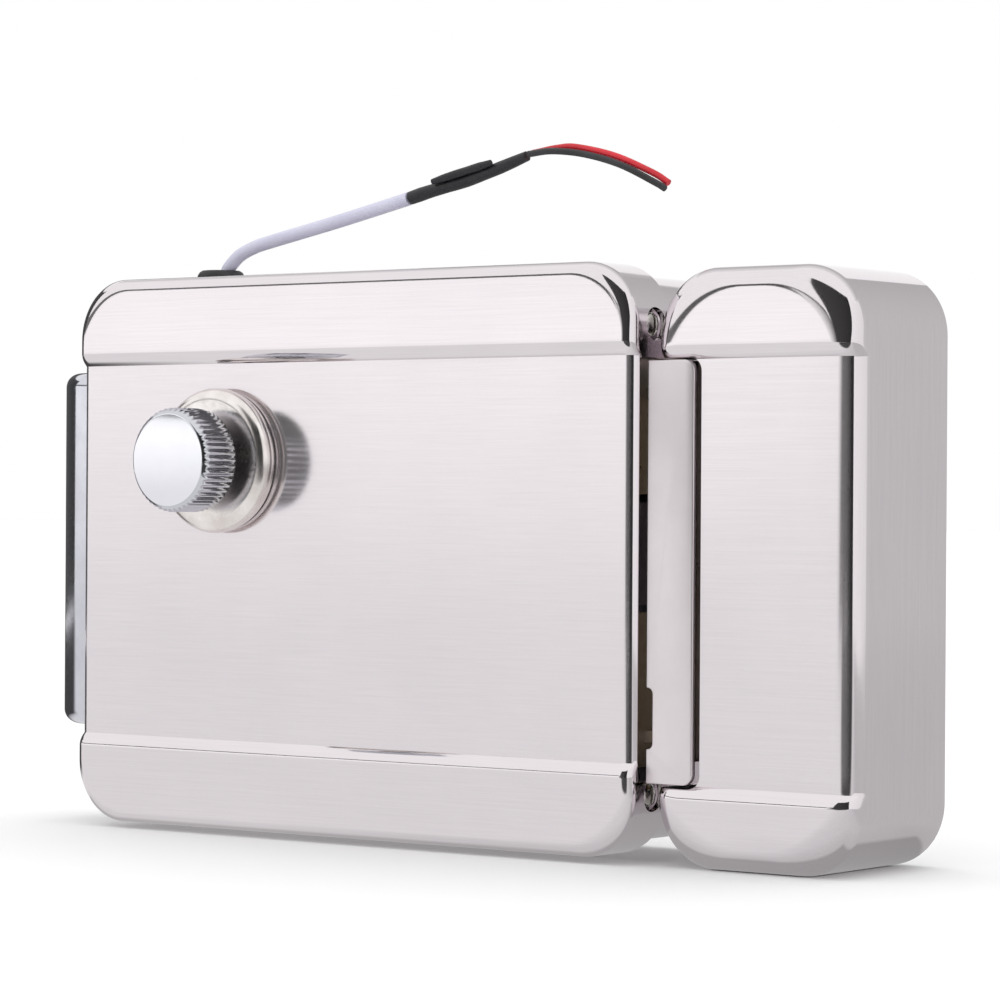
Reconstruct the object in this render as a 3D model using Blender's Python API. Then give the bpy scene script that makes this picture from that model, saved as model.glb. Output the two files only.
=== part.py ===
"""Electric rim lock with its keeper, built in metres with Z up.

The lock body hangs on the door and the keeper stands on the frame beside it. +X runs from the lock
body to the keeper, +Y runs into the door and the front looks along -Y. The origin is the centre of
the rear case's back face. Lengths below are written in millimetres and turned to metres by mm().
"""

import math

import bmesh
import bpy
from mathutils import Matrix, Vector

# ---------------------------------------------------------------- driving dimensions, millimetres
GAP = 0.3  # clearance left between pieces that touch

# lock body: pressed front cover over a folded rear case
COVER_W = 132.0
COVER_H = 105.0
COVER_FRONT_Y = -37.0
COVER_REAR_Y = -25.0
COVER_CORNER_R = 11.0
COVER_FACE_CORNER_R = 11.5  # where the flat face begins, inside the rounded edge
COVER_FILLET = 2.2
SHEET = 1.2
RECESS_TOP_Z = 35.8
RECESS_BOTTOM_Z = -35.6
RECESS_DEPTH = 1.4
STEP_RISE = 2.5  # height over which a cover steps down into its recess

CASE_W = 128.0
CASE_H = 101.0
CASE_FRONT_Y = -31.0
CASE_CORNER_R = 8.0
CASE_FLOOR = 2.0

# cap that closes the hinge side of the case
CAP_LEFT_X = -81.4
CAP_FLANGE_X = -61.2
CAP_TOP_Z = 34.9
CAP_BOTTOM_Z = -34.6
CAP_FRONT_Y = -31.0
CAP_REAR_Y = -3.2
CAP_FRONT_R = 12.0
CAP_REAR_R = 4.0
CAP_SOFT_R = 2.8
CAP_WALL = 1.4

# swinging tongue on its upright pin
TONGUE_PIN_X = 69.5
TONGUE_PIN_Y = -29.4
TONGUE_LEFT_X = 67.1
TONGUE_RIGHT_X = 76.8
TONGUE_TOP_Z = 34.9
TONGUE_BOTTOM_Z = -39.1
TONGUE_FRONT_Y = -33.5
TONGUE_THICK = 1.2
TONGUE_CORNER_R = 2.0
TAIL_LENGTH = 15.7
TAIL_ANGLE = 185.0  # degrees from +X, seen from above
TAIL_TOP_Z = 10.0
TAIL_BOTTOM_Z = -8.0
BARREL_R = 2.4
PIN_R = 1.3
LUG_UPPER_Z = 28.4
LUG_LOWER_Z = -32.4
LUG_THICK = 2.0
LUG_EYE_R = 2.6

# catch that holds the tongue's tail
CATCH_X = 54.0
CATCH_Y = -12.5
CATCH_TOP_Z = 12.0
CATCH_BOTTOM_Z = -18.0

# slide that joins the button, the solenoid and the catch
SLIDE_FRONT_Y = -21.0
SLIDE_THICK = 1.5
SLIDE_BOTTOM_Z = 13.4
SLIDE_TOP_Z = 21.4

# push button with its knurled knob
KNOB_X = -29.4
KNOB_Z = 17.4
KNOB_R = 9.75
KNOB_RIDGES = 50
KNOB_FACE_Y = -51.2
KNOB_REAR_Y = -42.3
STEM_R = 3.0
STEM_TIP_Y = -20.0

# solenoid, lying along X
SOL_Y = -20.25
SOL_Z = -14.0
SOL_LEFT_X = 8.0
SOL_RIGHT_X = 38.0
PLUNGER_R = 4.0

# hub turned by the outside key
CAM_X = 0.0
CAM_Z = 17.4

# cable
GROMMET_X = -49.9
CABLE_Y = -13.0
CABLE_R = 1.3

# keeper
KEEPER_LEFT_X = 68.4
KEEPER_RIGHT_X = 109.5
KEEPER_H = 104.5
KEEPER_MID_Z = -1.3
KEEPER_FRONT_Y = -33.7
KEEPER_REAR_Y = -3.0
KEEPER_CORNER_R = 11.6
KEEPER_FACE_CORNER_R = 15.0
KEEPER_FILLET = 3.5
KEEPER_RECESS_TOP_Z = 35.0
KEEPER_RECESS_BOTTOM_Z = -39.2
KEEPER_RECESS_DEPTH = 1.3
MOUTH_TOP_Z = 35.3
MOUTH_BOTTOM_Z = -39.8
MOUTH_RIGHT_X = 77.7

SMOOTH_ANGLE = math.radians(40)


# ---------------------------------------------------------------- small tools
def mm(*values):
    """Millimetres to metres, as one number or as a vector."""
    scaled = [value * 0.001 for value in values]
    return scaled[0] if len(scaled) == 1 else Vector(scaled)


def clear_scene():
    for obj in list(bpy.data.objects):
        bpy.data.objects.remove(obj, do_unlink=True)
    for mesh in list(bpy.data.meshes):
        bpy.data.meshes.remove(mesh)
    for material in list(bpy.data.materials):
        bpy.data.materials.remove(material)


def make_collection(name):
    collection = bpy.data.collections.new(name)
    bpy.context.scene.collection.children.link(collection)
    return collection


def paint(obj, colour, roughness, metallic):
    """Give the object a Principled material of its own."""
    material = bpy.data.materials.new(obj.name)
    material.use_nodes = True
    shader = material.node_tree.nodes["Principled BSDF"]
    shader.inputs["Base Color"].default_value = (*colour, 1.0)
    shader.inputs["Roughness"].default_value = roughness
    shader.inputs["Metallic"].default_value = metallic
    material.diffuse_color = (*colour, 1.0)
    obj.data.materials.clear()
    obj.data.materials.append(material)


NICKEL = ((0.78, 0.76, 0.75), 0.32, 1.0)
CHROME = ((0.86, 0.87, 0.88), 0.12, 1.0)
STEEL = ((0.62, 0.62, 0.61), 0.38, 1.0)
YELLOW_ZINC = ((0.60, 0.47, 0.24), 0.40, 1.0)
BRASS = ((0.72, 0.56, 0.27), 0.30, 1.0)
COPPER = ((0.62, 0.28, 0.14), 0.35, 1.0)
BLACK_RUBBER = ((0.02, 0.02, 0.02), 0.65, 0.0)
BLACK_PLASTIC = ((0.03, 0.03, 0.03), 0.40, 0.0)
WHITE_PLASTIC = ((0.80, 0.80, 0.86), 0.45, 0.0)
RED_PLASTIC = ((0.62, 0.03, 0.03), 0.40, 0.0)


def object_from(name, bm):
    """Turn a bmesh in world millimetres into an object in metres, and free the bmesh."""
    bmesh.ops.scale(bm, vec=(0.001, 0.001, 0.001), verts=bm.verts)
    bmesh.ops.recalc_face_normals(bm, faces=bm.faces)
    mesh = bpy.data.meshes.new(name)
    bm.to_mesh(mesh)
    bm.free()
    obj = bpy.data.objects.new(name, mesh)
    LOCK.objects.link(obj)
    return obj


def box(name, x, y, z):
    """A box between the two values of each pair."""
    bm = bmesh.new()
    bmesh.ops.create_cube(bm, size=1.0)
    size = (abs(x[1] - x[0]), abs(y[1] - y[0]), abs(z[1] - z[0]))
    middle = ((x[0] + x[1]) / 2, (y[0] + y[1]) / 2, (z[0] + z[1]) / 2)
    bmesh.ops.scale(bm, vec=size, verts=bm.verts)
    bmesh.ops.translate(bm, vec=middle, verts=bm.verts)
    return object_from(name, bm)


def rounded_box(name, x, y, z, radius, axis):
    """A box whose four edges along one axis are rounded."""
    bm = bmesh.new()
    bmesh.ops.create_cube(bm, size=1.0)
    size = (abs(x[1] - x[0]), abs(y[1] - y[0]), abs(z[1] - z[0]))
    middle = ((x[0] + x[1]) / 2, (y[0] + y[1]) / 2, (z[0] + z[1]) / 2)
    bmesh.ops.scale(bm, vec=size, verts=bm.verts)
    bmesh.ops.translate(bm, vec=middle, verts=bm.verts)
    index = "XYZ".index(axis)
    along = [e for e in bm.edges if abs((e.verts[0].co - e.verts[1].co)[index]) > 1e-6]
    bmesh.ops.bevel(bm, geom=along, offset=radius, segments=4, affect="EDGES", profile=0.5)
    return object_from(name, bm)


def plate(name, outline, front_y, rear_y):
    """A flat plate with an outline of (x, z) points, between two depths."""
    bm = bmesh.new()
    front = [bm.verts.new((x, front_y, z)) for x, z in outline]
    rear = [bm.verts.new((x, rear_y, z)) for x, z in outline]
    bridge(bm, front, rear)
    bm.faces.new(front)
    bm.faces.new(rear)
    return object_from(name, bm)


def bent_strip(name, outline, bottom_z, top_z):
    """An upright strip with a cross-section of (x, y) points, between two heights."""
    bm = bmesh.new()
    low = [bm.verts.new((x, y, bottom_z)) for x, y in outline]
    high = [bm.verts.new((x, y, top_z)) for x, y in outline]
    bridge(bm, low, high)
    bm.faces.new(low)
    bm.faces.new(high)
    return object_from(name, bm)


AXIS_TURN = {
    "X": Matrix.Rotation(math.radians(90), 4, "Y"),
    "Y": Matrix.Rotation(math.radians(-90), 4, "X"),
    "Z": Matrix.Identity(4),
}


def lathe(name, axis, centre, profile, steps=32):
    """Turn a closed outline of (distance along the axis, radius) points into a round solid."""
    bm = bmesh.new()
    rings = []
    for along, radius in profile:
        if radius < 1e-6:
            rings.append([bm.verts.new((0.0, 0.0, along))])
            continue
        ring = []
        for step in range(steps):
            angle = 2 * math.pi * step / steps
            ring.append(bm.verts.new((radius * math.cos(angle), radius * math.sin(angle), along)))
        rings.append(ring)
    for first, second in zip(rings, rings[1:] + rings[:1]):
        if len(first) == 1 and len(second) == 1:
            continue
        for step in range(steps):
            corners = [first[step % len(first)], first[(step + 1) % len(first)]]
            corners += [second[(step + 1) % len(second)], second[step % len(second)]]
            face = list(dict.fromkeys(corners))
            bm.faces.new(face)
    bmesh.ops.transform(bm, matrix=AXIS_TURN[axis], verts=bm.verts)
    bmesh.ops.translate(bm, vec=centre, verts=bm.verts)
    return object_from(name, bm)


def rod(name, axis, centre, radius, start, end, steps=24):
    """A plain round bar between two places along its axis."""
    return lathe(name, axis, centre, [(start, 0.0), (start, radius), (end, radius), (end, 0.0)], steps)


def tube(name, axis, centre, outer, inner, start, end, steps=32):
    """A round bar with a hole all the way through."""
    outline = [(start, inner), (start, outer), (end, outer), (end, inner)]
    return lathe(name, axis, centre, outline, steps)


def boolean(target, others, operation):
    """Cut the others from the target, or join them to it, and remove them."""
    for other in others:
        modifier = target.modifiers.new(operation, "BOOLEAN")
        modifier.operation = operation
        modifier.solver = "EXACT"
        modifier.object = other
        graph = bpy.context.evaluated_depsgraph_get()
        mesh = bpy.data.meshes.new_from_object(target.evaluated_get(graph))
        target.modifiers.clear()
        target.data = mesh
        bpy.data.objects.remove(other, do_unlink=True)
    return target


def cut(target, *others):
    return boolean(target, others, "DIFFERENCE")


def join(target, *others):
    return boolean(target, others, "UNION")


def set_origin(obj, point):
    """Move the object's origin to a point of its joint axis and leave its shape where it is."""
    offset = mm(*point)
    obj.data.transform(Matrix.Translation(-offset))
    obj.location = offset


def finish(obj, look):
    """Name the mesh, give it its material and shade the round faces smooth."""
    obj.data.name = obj.name
    paint(obj, *look)
    obj.data.shade_smooth()
    obj.data.set_sharp_from_angle(angle=SMOOTH_ANGLE)
    return obj


# ---------------------------------------------------------------- pressed shells
def half_outline(width, height, radius, inset, levels, corner_steps=7):
    """Right-hand half of a rounded rectangle from top to bottom, as (x, z) pairs."""
    mid_x = width / 2 - inset - radius
    mid_z = height / 2 - inset - radius
    margin = 0.6
    upper_end = max(mid_z, levels[0] + margin) if levels else mid_z
    lower_end = max(mid_z, margin - levels[-1]) if levels else mid_z
    upper = [(mid_x, mid_z + radius)]
    lower = [(mid_x, -mid_z - radius)]
    for step in range(1, corner_steps + 1):
        share = step / corner_steps
        for points, end, side in ((upper, upper_end, 1), (lower, lower_end, -1)):
            last = math.asin((end - mid_z) / radius)
            angle = math.pi / 2 + (last - math.pi / 2) * share
            points.append((mid_x + radius * math.cos(angle), side * (mid_z + radius * math.sin(angle))))
    between = []
    for level in levels:
        above = max(abs(level) - mid_z, 0.0)
        between.append((mid_x + math.sqrt(radius * radius - above * above), level))
    return upper + between + lower[::-1]


def recess_at(z, top, bottom, depth):
    """How far the face lies below its bands: the band rolls over and meets the recess in a crease."""
    if depth == 0:
        return 0.0
    down = (top + STEP_RISE - z) / STEP_RISE
    up = (z - bottom + STEP_RISE) / STEP_RISE
    share = min(max(min(down, up), 0.0), 1.0)
    return depth * share * share


def step_levels(top, bottom):
    """Heights at which the step between band and recess is drawn."""
    shares = (0.0, 0.25, 0.5, 0.75, 1.0)
    upper = [top + STEP_RISE * (1 - share) for share in shares]
    lower = [bottom - STEP_RISE * share for share in shares]
    return upper + lower


def shell_rings(bm, size, middle, corners, fillet, open_y, closed_y, recess):
    """Rings of one skin of a shell, from its open edge to the rim of its closed face."""
    width, height = size
    top, bottom, depth = recess
    levels = step_levels(top, bottom) if depth else []
    toward_open = 1.0 if open_y > closed_y else -1.0
    rings = []
    stations = [(0.0, None)]
    for step in range(5):
        angle = math.pi / 2 * step / 4
        stations.append((fillet * (1 - math.cos(angle)), fillet * (1 - math.sin(angle))))
    for inset, rise in stations:
        local = [level - middle[1] for level in levels]
        radius = corners[0] + (corners[1] - corners[0]) * inset / fillet
        half = half_outline(width, height, radius, inset, local)
        full = half + [(-x, z) for x, z in reversed(half)]
        ring = []
        for x, z in full:
            world_z = z + middle[1]
            if rise is None:
                y = open_y
            else:
                y = closed_y + toward_open * (rise + recess_at(world_z, top, bottom, depth))
            ring.append(bm.verts.new((x + middle[0], y, world_z)))
        rings.append(ring)
    return rings


def bridge(bm, first, second):
    count = len(first)
    for i in range(count):
        j = (i + 1) % count
        bm.faces.new((first[i], first[j], second[j], second[i]))


def ladder(bm, ring):
    """Close a ring with faces that run straight across from its right half to its left half."""
    count = len(ring)
    for i in range(count // 2 - 1):
        bm.faces.new((ring[i], ring[i + 1], ring[count - 2 - i], ring[count - 1 - i]))


def pressed_shell(name, size, middle, corners, fillet, open_y, closed_y, wall, floor, recess=(0, 0, 0)):
    """A pan pressed from sheet: rounded outline, rounded front edge and an optional sunken band.

    The corners are the outline's radius at the side wall and at the rim of the flat face.
    """
    bm = bmesh.new()
    toward_open = 1.0 if open_y > closed_y else -1.0
    outer = shell_rings(bm, size, middle, corners, fillet, open_y, closed_y, recess)
    inner_size = (size[0] - 2 * wall, size[1] - 2 * wall)
    inner_fillet = max(fillet - wall, 0.4)
    inner_closed = closed_y + toward_open * floor
    inner_corners = (corners[0] - wall, corners[1])
    inner = shell_rings(
        bm, inner_size, middle, inner_corners, inner_fillet, open_y, inner_closed, recess
    )
    for rings in (outer, inner):
        for first, second in zip(rings, rings[1:]):
            bridge(bm, first, second)
        ladder(bm, rings[-1])
    bridge(bm, outer[0], inner[0])
    return object_from(name, bm)


def make_front_cover():
    """Pressed cover with a sunken middle band, a knob hole and openings at both ends."""
    cover = pressed_shell(
        "front_cover",
        (COVER_W, COVER_H),
        (0.0, 0.0),
        (COVER_CORNER_R, COVER_FACE_CORNER_R),
        COVER_FILLET,
        COVER_REAR_Y,
        COVER_FRONT_Y,
        SHEET,
        SHEET,
        (RECESS_TOP_Z, RECESS_BOTTOM_Z, RECESS_DEPTH),
    )
    knob_hole = rod("cutter", "Y", (KNOB_X, 0, KNOB_Z), 8.3, -40, -30)
    tongue_slot = box("cutter", (60, 70), (-34.2, -20), (-39.6, 35.5))
    cap_slot = box("cutter", (-70, -60), (-31.4, -20), (-35.0, 35.3))
    cut(cover, knob_hole, tongue_slot, cap_slot)
    for z in (41.4, -41.4):
        cut(cover, rod("cutter", "X", (0, -29.3, z), 3.0, 60, 70))
    return finish(cover, NICKEL)


def make_rear_case():
    """Folded case behind the cover. Its flat back is what lies on the door."""
    case = pressed_shell(
        "rear_case",
        (CASE_W, CASE_H),
        (0.0, 0.0),
        (CASE_CORNER_R, CASE_CORNER_R - 1.5),
        1.5,
        CASE_FRONT_Y,
        0.0,
        SHEET,
        CASE_FLOOR,
    )
    tongue_window = box("cutter", (60, 70), (-35, -11.5), (-36.5, 35.5))
    cap_window = box("cutter", (-70, -60), (-35, -2.8), (-35.0, 35.3))
    grommet_hole = rod("cutter", "Z", (GROMMET_X, CABLE_Y, 0), 3.6, 45, 55)
    cam_hole = rod("cutter", "Y", (CAM_X, 0, CAM_Z), 5.3, -6, 4)
    cut(case, tongue_window, cap_window, grommet_hole, cam_hole)
    for z in (41.4, -41.4):
        cut(case, rod("cutter", "X", (0, -29.3, z), 1.5, 60, 70))
    for x in (-54.0, 54.0):
        for z in (-43.0, 43.0):
            cut(case, rod("cutter", "Y", (x, 0, z), 1.6, -6, 4))
            countersink = [(-1.4, 0), (-1.4, 1.6), (0.3, 3.3), (0.3, 0)]
            cut(case, lathe("cutter", "Y", (x, 0, z), countersink, 24))
    for x in (-42.0, 42.0):
        for z in (-38.0, 38.0):
            slot = rounded_box("cutter", (x - 4.5, x + 4.5), (-6, 4), (z - 2.2, z + 2.2), 2.1, "Y")
            cut(case, slot)
    return finish(case, NICKEL)


def cap_body(name, wall, right_x):
    """Upright body with two rounded corners and softened ends, drawn in from the cap by the wall."""
    soft = CAP_SOFT_R - wall
    steps = 5
    turns = [math.pi / 2 * step / steps for step in range(steps + 1)]
    stations = []
    for turn in turns:
        stations.append((CAP_BOTTOM_Z + wall + soft * (1 - math.cos(turn)), soft * (1 - math.sin(turn))))
    for turn in reversed(turns):
        stations.append((CAP_TOP_Z - wall - soft * (1 - math.cos(turn)), soft * (1 - math.sin(turn))))
    bm = bmesh.new()
    rings = []
    for z, inset in stations:
        shrink = wall + inset
        outline = [(right_x, CAP_FRONT_Y + shrink)]
        for turn in turns:
            radius = CAP_FRONT_R - shrink
            x = CAP_LEFT_X + CAP_FRONT_R - radius * math.sin(turn)
            outline.append((x, CAP_FRONT_Y + CAP_FRONT_R - radius * math.cos(turn)))
        for turn in reversed(turns):
            radius = CAP_REAR_R - shrink
            x = CAP_LEFT_X + CAP_REAR_R - radius * math.sin(turn)
            outline.append((x, CAP_REAR_Y - CAP_REAR_R + radius * math.cos(turn)))
        outline.append((right_x, CAP_REAR_Y - shrink))
        rings.append([bm.verts.new((x, y, z)) for x, y in outline])
    for first, second in zip(rings, rings[1:]):
        bridge(bm, first, second)
    bm.faces.new(rings[0])
    bm.faces.new(rings[-1])
    return object_from(name, bm)


def make_end_cap():
    """Cap that closes the hinge-side opening and sticks out past the cover."""
    cap = cap_body("end_cap", 0.0, -61.8)
    flange = box("flange", (-62.4, CAP_FLANGE_X), (-33.4, -2.6), (CAP_BOTTOM_Z - 2, CAP_TOP_Z + 2))
    join(cap, flange)
    hollow = cap_body("cutter", CAP_WALL, -50.0)
    return finish(cut(cap, hollow), CHROME)


# ---------------------------------------------------------------- tongue and its bracket
def lug_outline():
    """A lug seen from above: an eye for the pin on an arm that keeps out of the swinging leaf's way."""
    points = [(61.2, -21.6), (61.2, -26.4), (65.0, -26.7)]
    for step in range(17):
        angle = math.radians(150 + 285 * step / 16)
        x = TONGUE_PIN_X + LUG_EYE_R * math.cos(angle)
        y = TONGUE_PIN_Y + LUG_EYE_R * math.sin(angle)
        points.append((x, y))
    return points


def make_tongue_bracket():
    """Plated plate behind the leading edge. It carries the tongue's pin and the catch's pin."""
    bracket = box("tongue_bracket", (60.8, 62.0), (-32.6, -8), (-44.5, 44.5))
    for low in (LUG_UPPER_Z, LUG_LOWER_Z):
        join(bracket, bent_strip("lug", lug_outline(), low, low + LUG_THICK))
    for low in (CATCH_TOP_Z + 0.5, CATCH_BOTTOM_Z - 2.0):
        shelf = box("shelf", (49.6, 61.4), (CATCH_Y - 4.4, CATCH_Y + 4.0), (low, low + 1.5))
        join(bracket, shelf)
    tail_slot = box("cutter", (58, 64), (-40, -14.2), (TAIL_BOTTOM_Z - 1.5, TAIL_TOP_Z + 1.5))
    pin_hole = rod("cutter", "Z", (TONGUE_PIN_X, TONGUE_PIN_Y, 0), PIN_R + GAP, -40, 40)
    catch_hole = rod("cutter", "Z", (CATCH_X, CATCH_Y, 0), PIN_R + GAP, -30, 30)
    cut(bracket, tail_slot, pin_hole, catch_hole)
    for z in (41.4, -41.4):
        cut(bracket, rod("cutter", "X", (0, -29.3, z), 1.5, 55, 70))
    return finish(bracket, YELLOW_ZINC)


def make_tongue():
    """Swinging tongue: flat leaf in the keeper's mouth, barrel on the pin, tail inside the case."""
    leaf = rounded_box(
        "tongue",
        (TONGUE_LEFT_X - 4, TONGUE_RIGHT_X),
        (TONGUE_FRONT_Y, TONGUE_FRONT_Y + TONGUE_THICK),
        (TONGUE_BOTTOM_Z, TONGUE_TOP_Z),
        TONGUE_CORNER_R,
        "Y",
    )
    square_edge = box("cutter", (50, TONGUE_LEFT_X), (-40, -25), (-50, 50))
    notch = rounded_box("cutter", (60, TONGUE_LEFT_X + 1.3), (-40, -31.9), (-33.0, -22.4), 1.0, "Y")
    cut(leaf, square_edge, notch)
    barrel_z = (LUG_LOWER_Z + LUG_THICK + GAP, 20.0)
    web = box("web", (TONGUE_PIN_X - 2.2, TONGUE_PIN_X + 1.8), (-32.8, TONGUE_PIN_Y), barrel_z)
    barrel = rod("barrel", "Z", (TONGUE_PIN_X, TONGUE_PIN_Y, 0), BARREL_R, *barrel_z)
    notch_relief = box("cutter", (60, TONGUE_LEFT_X + 1.3), (-40, -31.6), (-33.0, -22.4))
    cut(web, notch_relief)
    tail = box("tail", (1.0, TAIL_LENGTH), (-0.8, 0.8), (TAIL_BOTTOM_Z, TAIL_TOP_Z))
    turn = Matrix.Rotation(math.radians(TAIL_ANGLE), 4, "Z")
    tail.data.transform(Matrix.Translation(mm(TONGUE_PIN_X, TONGUE_PIN_Y, 0)) @ turn)
    join(leaf, web, barrel, tail)
    bore = rod("cutter", "Z", (TONGUE_PIN_X, TONGUE_PIN_Y, 0), PIN_R + GAP, -50, 50)
    cut(leaf, bore)
    set_origin(leaf, (TONGUE_PIN_X, TONGUE_PIN_Y, 0))
    return finish(leaf, NICKEL)


def make_tongue_pin():
    top = LUG_UPPER_Z + LUG_THICK + GAP
    bottom = LUG_LOWER_Z - GAP
    outline = [(bottom - 1, 0), (bottom - 1, PIN_R), (top, PIN_R), (top, 2.2), (top + 0.8, 2.2)]
    outline.append((top + 0.8, 0))
    return finish(lathe("tongue_pin", "Z", (TONGUE_PIN_X, TONGUE_PIN_Y, 0), outline, 24), STEEL)


def coil(name, axis, centre, radius, wire, start, end, turns, look):
    """An open coil spring between two places along its axis."""
    curve = bpy.data.curves.new(name, "CURVE")
    curve.dimensions = "3D"
    curve.bevel_depth = mm(wire)
    curve.bevel_resolution = 1
    curve.use_fill_caps = True
    spline = curve.splines.new("POLY")
    count = int(turns * 12) + 1
    spline.points.add(count - 1)
    turn = AXIS_TURN[axis]
    for i in range(count):
        share = i / (count - 1)
        angle = 2 * math.pi * turns * share
        along = start + wire + (end - start - 2 * wire) * share
        local = Vector((radius * math.cos(angle), radius * math.sin(angle), along))
        point = turn @ local + Vector(centre)
        spline.points[i].co = (*mm(*point), 1.0)
    guide = bpy.data.objects.new(name + "_guide", curve)
    LOCK.objects.link(guide)
    graph = bpy.context.evaluated_depsgraph_get()
    mesh = bpy.data.meshes.new_from_object(guide.evaluated_get(graph))
    bpy.data.objects.remove(guide, do_unlink=True)
    bm = bmesh.new()
    bm.from_mesh(mesh)
    bmesh.ops.remove_doubles(bm, verts=bm.verts, dist=1e-6)
    bmesh.ops.recalc_face_normals(bm, faces=bm.faces)
    bm.to_mesh(mesh)
    bm.free()
    obj = bpy.data.objects.new(name, mesh)
    LOCK.objects.link(obj)
    return finish(obj, look)


def make_catch():
    """Catch lever: hub on its pin, arm towards the front and a nose beside the tongue's tail."""
    hub = rod("catch_lever", "Z", (CATCH_X, CATCH_Y, 0), 3.2, CATCH_BOTTOM_Z, CATCH_TOP_Z)
    arm = box("arm", (51.0, 53.0), (-27.6, CATCH_Y + 1), (CATCH_BOTTOM_Z, 8.0))
    nose = rounded_box("nose", (50.6, 53.3), (-31.4, -26.6), (-6.0, 8.0), 0.8, "Z")
    join(hub, arm, nose)
    window = box("cutter", (49, 55), (-22.6, -17.9), (-7.2, -0.8))
    pin_hole = rod("cutter", "Z", (CATCH_X, CATCH_Y, 0), PIN_R + GAP, -30, 30)
    cut(hub, window, pin_hole)
    set_origin(hub, (CATCH_X, CATCH_Y, 0))
    return finish(hub, STEEL)


def make_catch_pin():
    top = CATCH_TOP_Z + 2.0 + GAP
    bottom = CATCH_BOTTOM_Z - 2.0
    outline = [(bottom - 0.8, 0), (bottom - 0.8, PIN_R), (top, PIN_R), (top, 2.1), (top + 0.8, 2.1)]
    outline.append((top + 0.8, 0))
    return finish(lathe("catch_pin", "Z", (CATCH_X, CATCH_Y, 0), outline, 24), STEEL)


def make_release_slide():
    """Flat slide. The button's cone and the plunger both pull its hook, which turns the catch."""
    rear_y = SLIDE_FRONT_Y + SLIDE_THICK
    outline = [
        (-37.0, SLIDE_BOTTOM_Z),
        (43.6, SLIDE_BOTTOM_Z),
        (43.6, -19.0),
        (50.2, -19.0),
        (50.2, -6.0),
        (53.4, -6.0),
        (53.4, -9.2),
        (54.9, -9.2),
        (54.9, 1.2),
        (53.4, 1.2),
        (53.4, -2.0),
        (50.2, -2.0),
        (50.2, SLIDE_TOP_Z),
        (-9.0, SLIDE_TOP_Z),
        (-9.0, 29.0),
        (-11.0, 29.0),
        (-11.0, SLIDE_TOP_Z),
        (-37.0, SLIDE_TOP_Z),
    ]
    bar = plate("release_slide", outline, SLIDE_FRONT_Y, rear_y)
    button_window = box("cutter", (KNOB_X - 1.42, -23.4), (-25, -15), (KNOB_Z - 3.5, KNOB_Z + 3.5))
    pin_hole = rod("cutter", "Y", (45.8, 0, SOL_Z), 1.3, -30, -10)
    cut(bar, button_window, pin_hole)
    set_origin(bar, (0.0, SLIDE_FRONT_Y, KNOB_Z))
    return finish(bar, STEEL)


# ---------------------------------------------------------------- solenoid
def make_solenoid():
    """Frame, bobbin, coil, fixed core, plunger, its cross pin and its return spring."""
    centre = (0, SOL_Y, SOL_Z)
    y_front = SOL_Y - 9.4
    y_rear = SOL_Y + 9.4
    z_pair = (SOL_Z - 9.0, SOL_Z + 9.0)
    frame = box("solenoid_frame", (SOL_LEFT_X, SOL_LEFT_X + 1.6), (y_front, y_rear + 1.6), z_pair)
    right = box("right", (SOL_RIGHT_X - 1.6, SOL_RIGHT_X), (y_front, y_rear + 1.6), z_pair)
    back = box("back", (SOL_LEFT_X + 0.5, SOL_RIGHT_X - 0.5), (y_rear, y_rear + 1.6), z_pair)
    join(frame, right, back)
    for x in (13.0, 29.0):
        join(frame, box("foot", (x, x + 4), (y_rear + 0.8, -CASE_FLOOR - GAP), (-20, -8)))
    cut(frame, rod("cutter", "X", centre, PLUNGER_R + 0.4, 30, 44))
    cut(frame, rod("cutter", "X", centre, 2.3, 2, 14))
    finish(frame, YELLOW_ZINC)

    left = SOL_LEFT_X + 1.9
    end = SOL_RIGHT_X - 1.9
    bobbin_outline = [
        (left, 4.4),
        (left, 8.7),
        (left + 1.2, 8.7),
        (left + 1.2, 5.4),
        (end - 1.2, 5.4),
        (end - 1.2, 8.7),
        (end, 8.7),
        (end, 4.4),
    ]
    finish(lathe("solenoid_bobbin", "X", centre, bobbin_outline), BLACK_PLASTIC)
    wound = tube("solenoid_coil", "X", centre, 8.3, 5.7, left + 1.5, end - 1.5)
    finish(wound, COPPER)
    core_outline = [(6.6, 0), (6.6, 2.0), (left, 2.0), (left, 4.1), (20.0, 4.1), (20.0, 0)]
    finish(lathe("solenoid_core", "X", centre, core_outline), STEEL)

    plunger_outline = [(22.6, 0), (22.6, PLUNGER_R), (43.2, PLUNGER_R), (43.2, 5.2), (48.6, 5.2)]
    plunger_outline.append((48.6, 0))
    plunger = lathe("plunger", "X", centre, plunger_outline)
    fork = box(
        "cutter",
        (43.25, 52),
        (SLIDE_FRONT_Y - 0.4, SLIDE_FRONT_Y + SLIDE_THICK + 0.4),
        (SOL_Z - 8, SOL_Z + 8),
    )
    cut(plunger, fork, rod("cutter", "Y", (45.8, 0, SOL_Z), 1.3, -30, -10))
    set_origin(plunger, (SOL_RIGHT_X, SOL_Y, SOL_Z))
    finish(plunger, STEEL)
    pin = rod("plunger_pin", "Y", (45.8, 0, SOL_Z), 1.0, -25.8, -14.8, 16)
    set_origin(pin, (45.8, SOL_Y, SOL_Z))
    finish(pin, STEEL)
    coil("plunger_spring", "X", centre, 4.75, 0.35, SOL_RIGHT_X + 0.3, 42.9, 3, STEEL)


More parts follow.
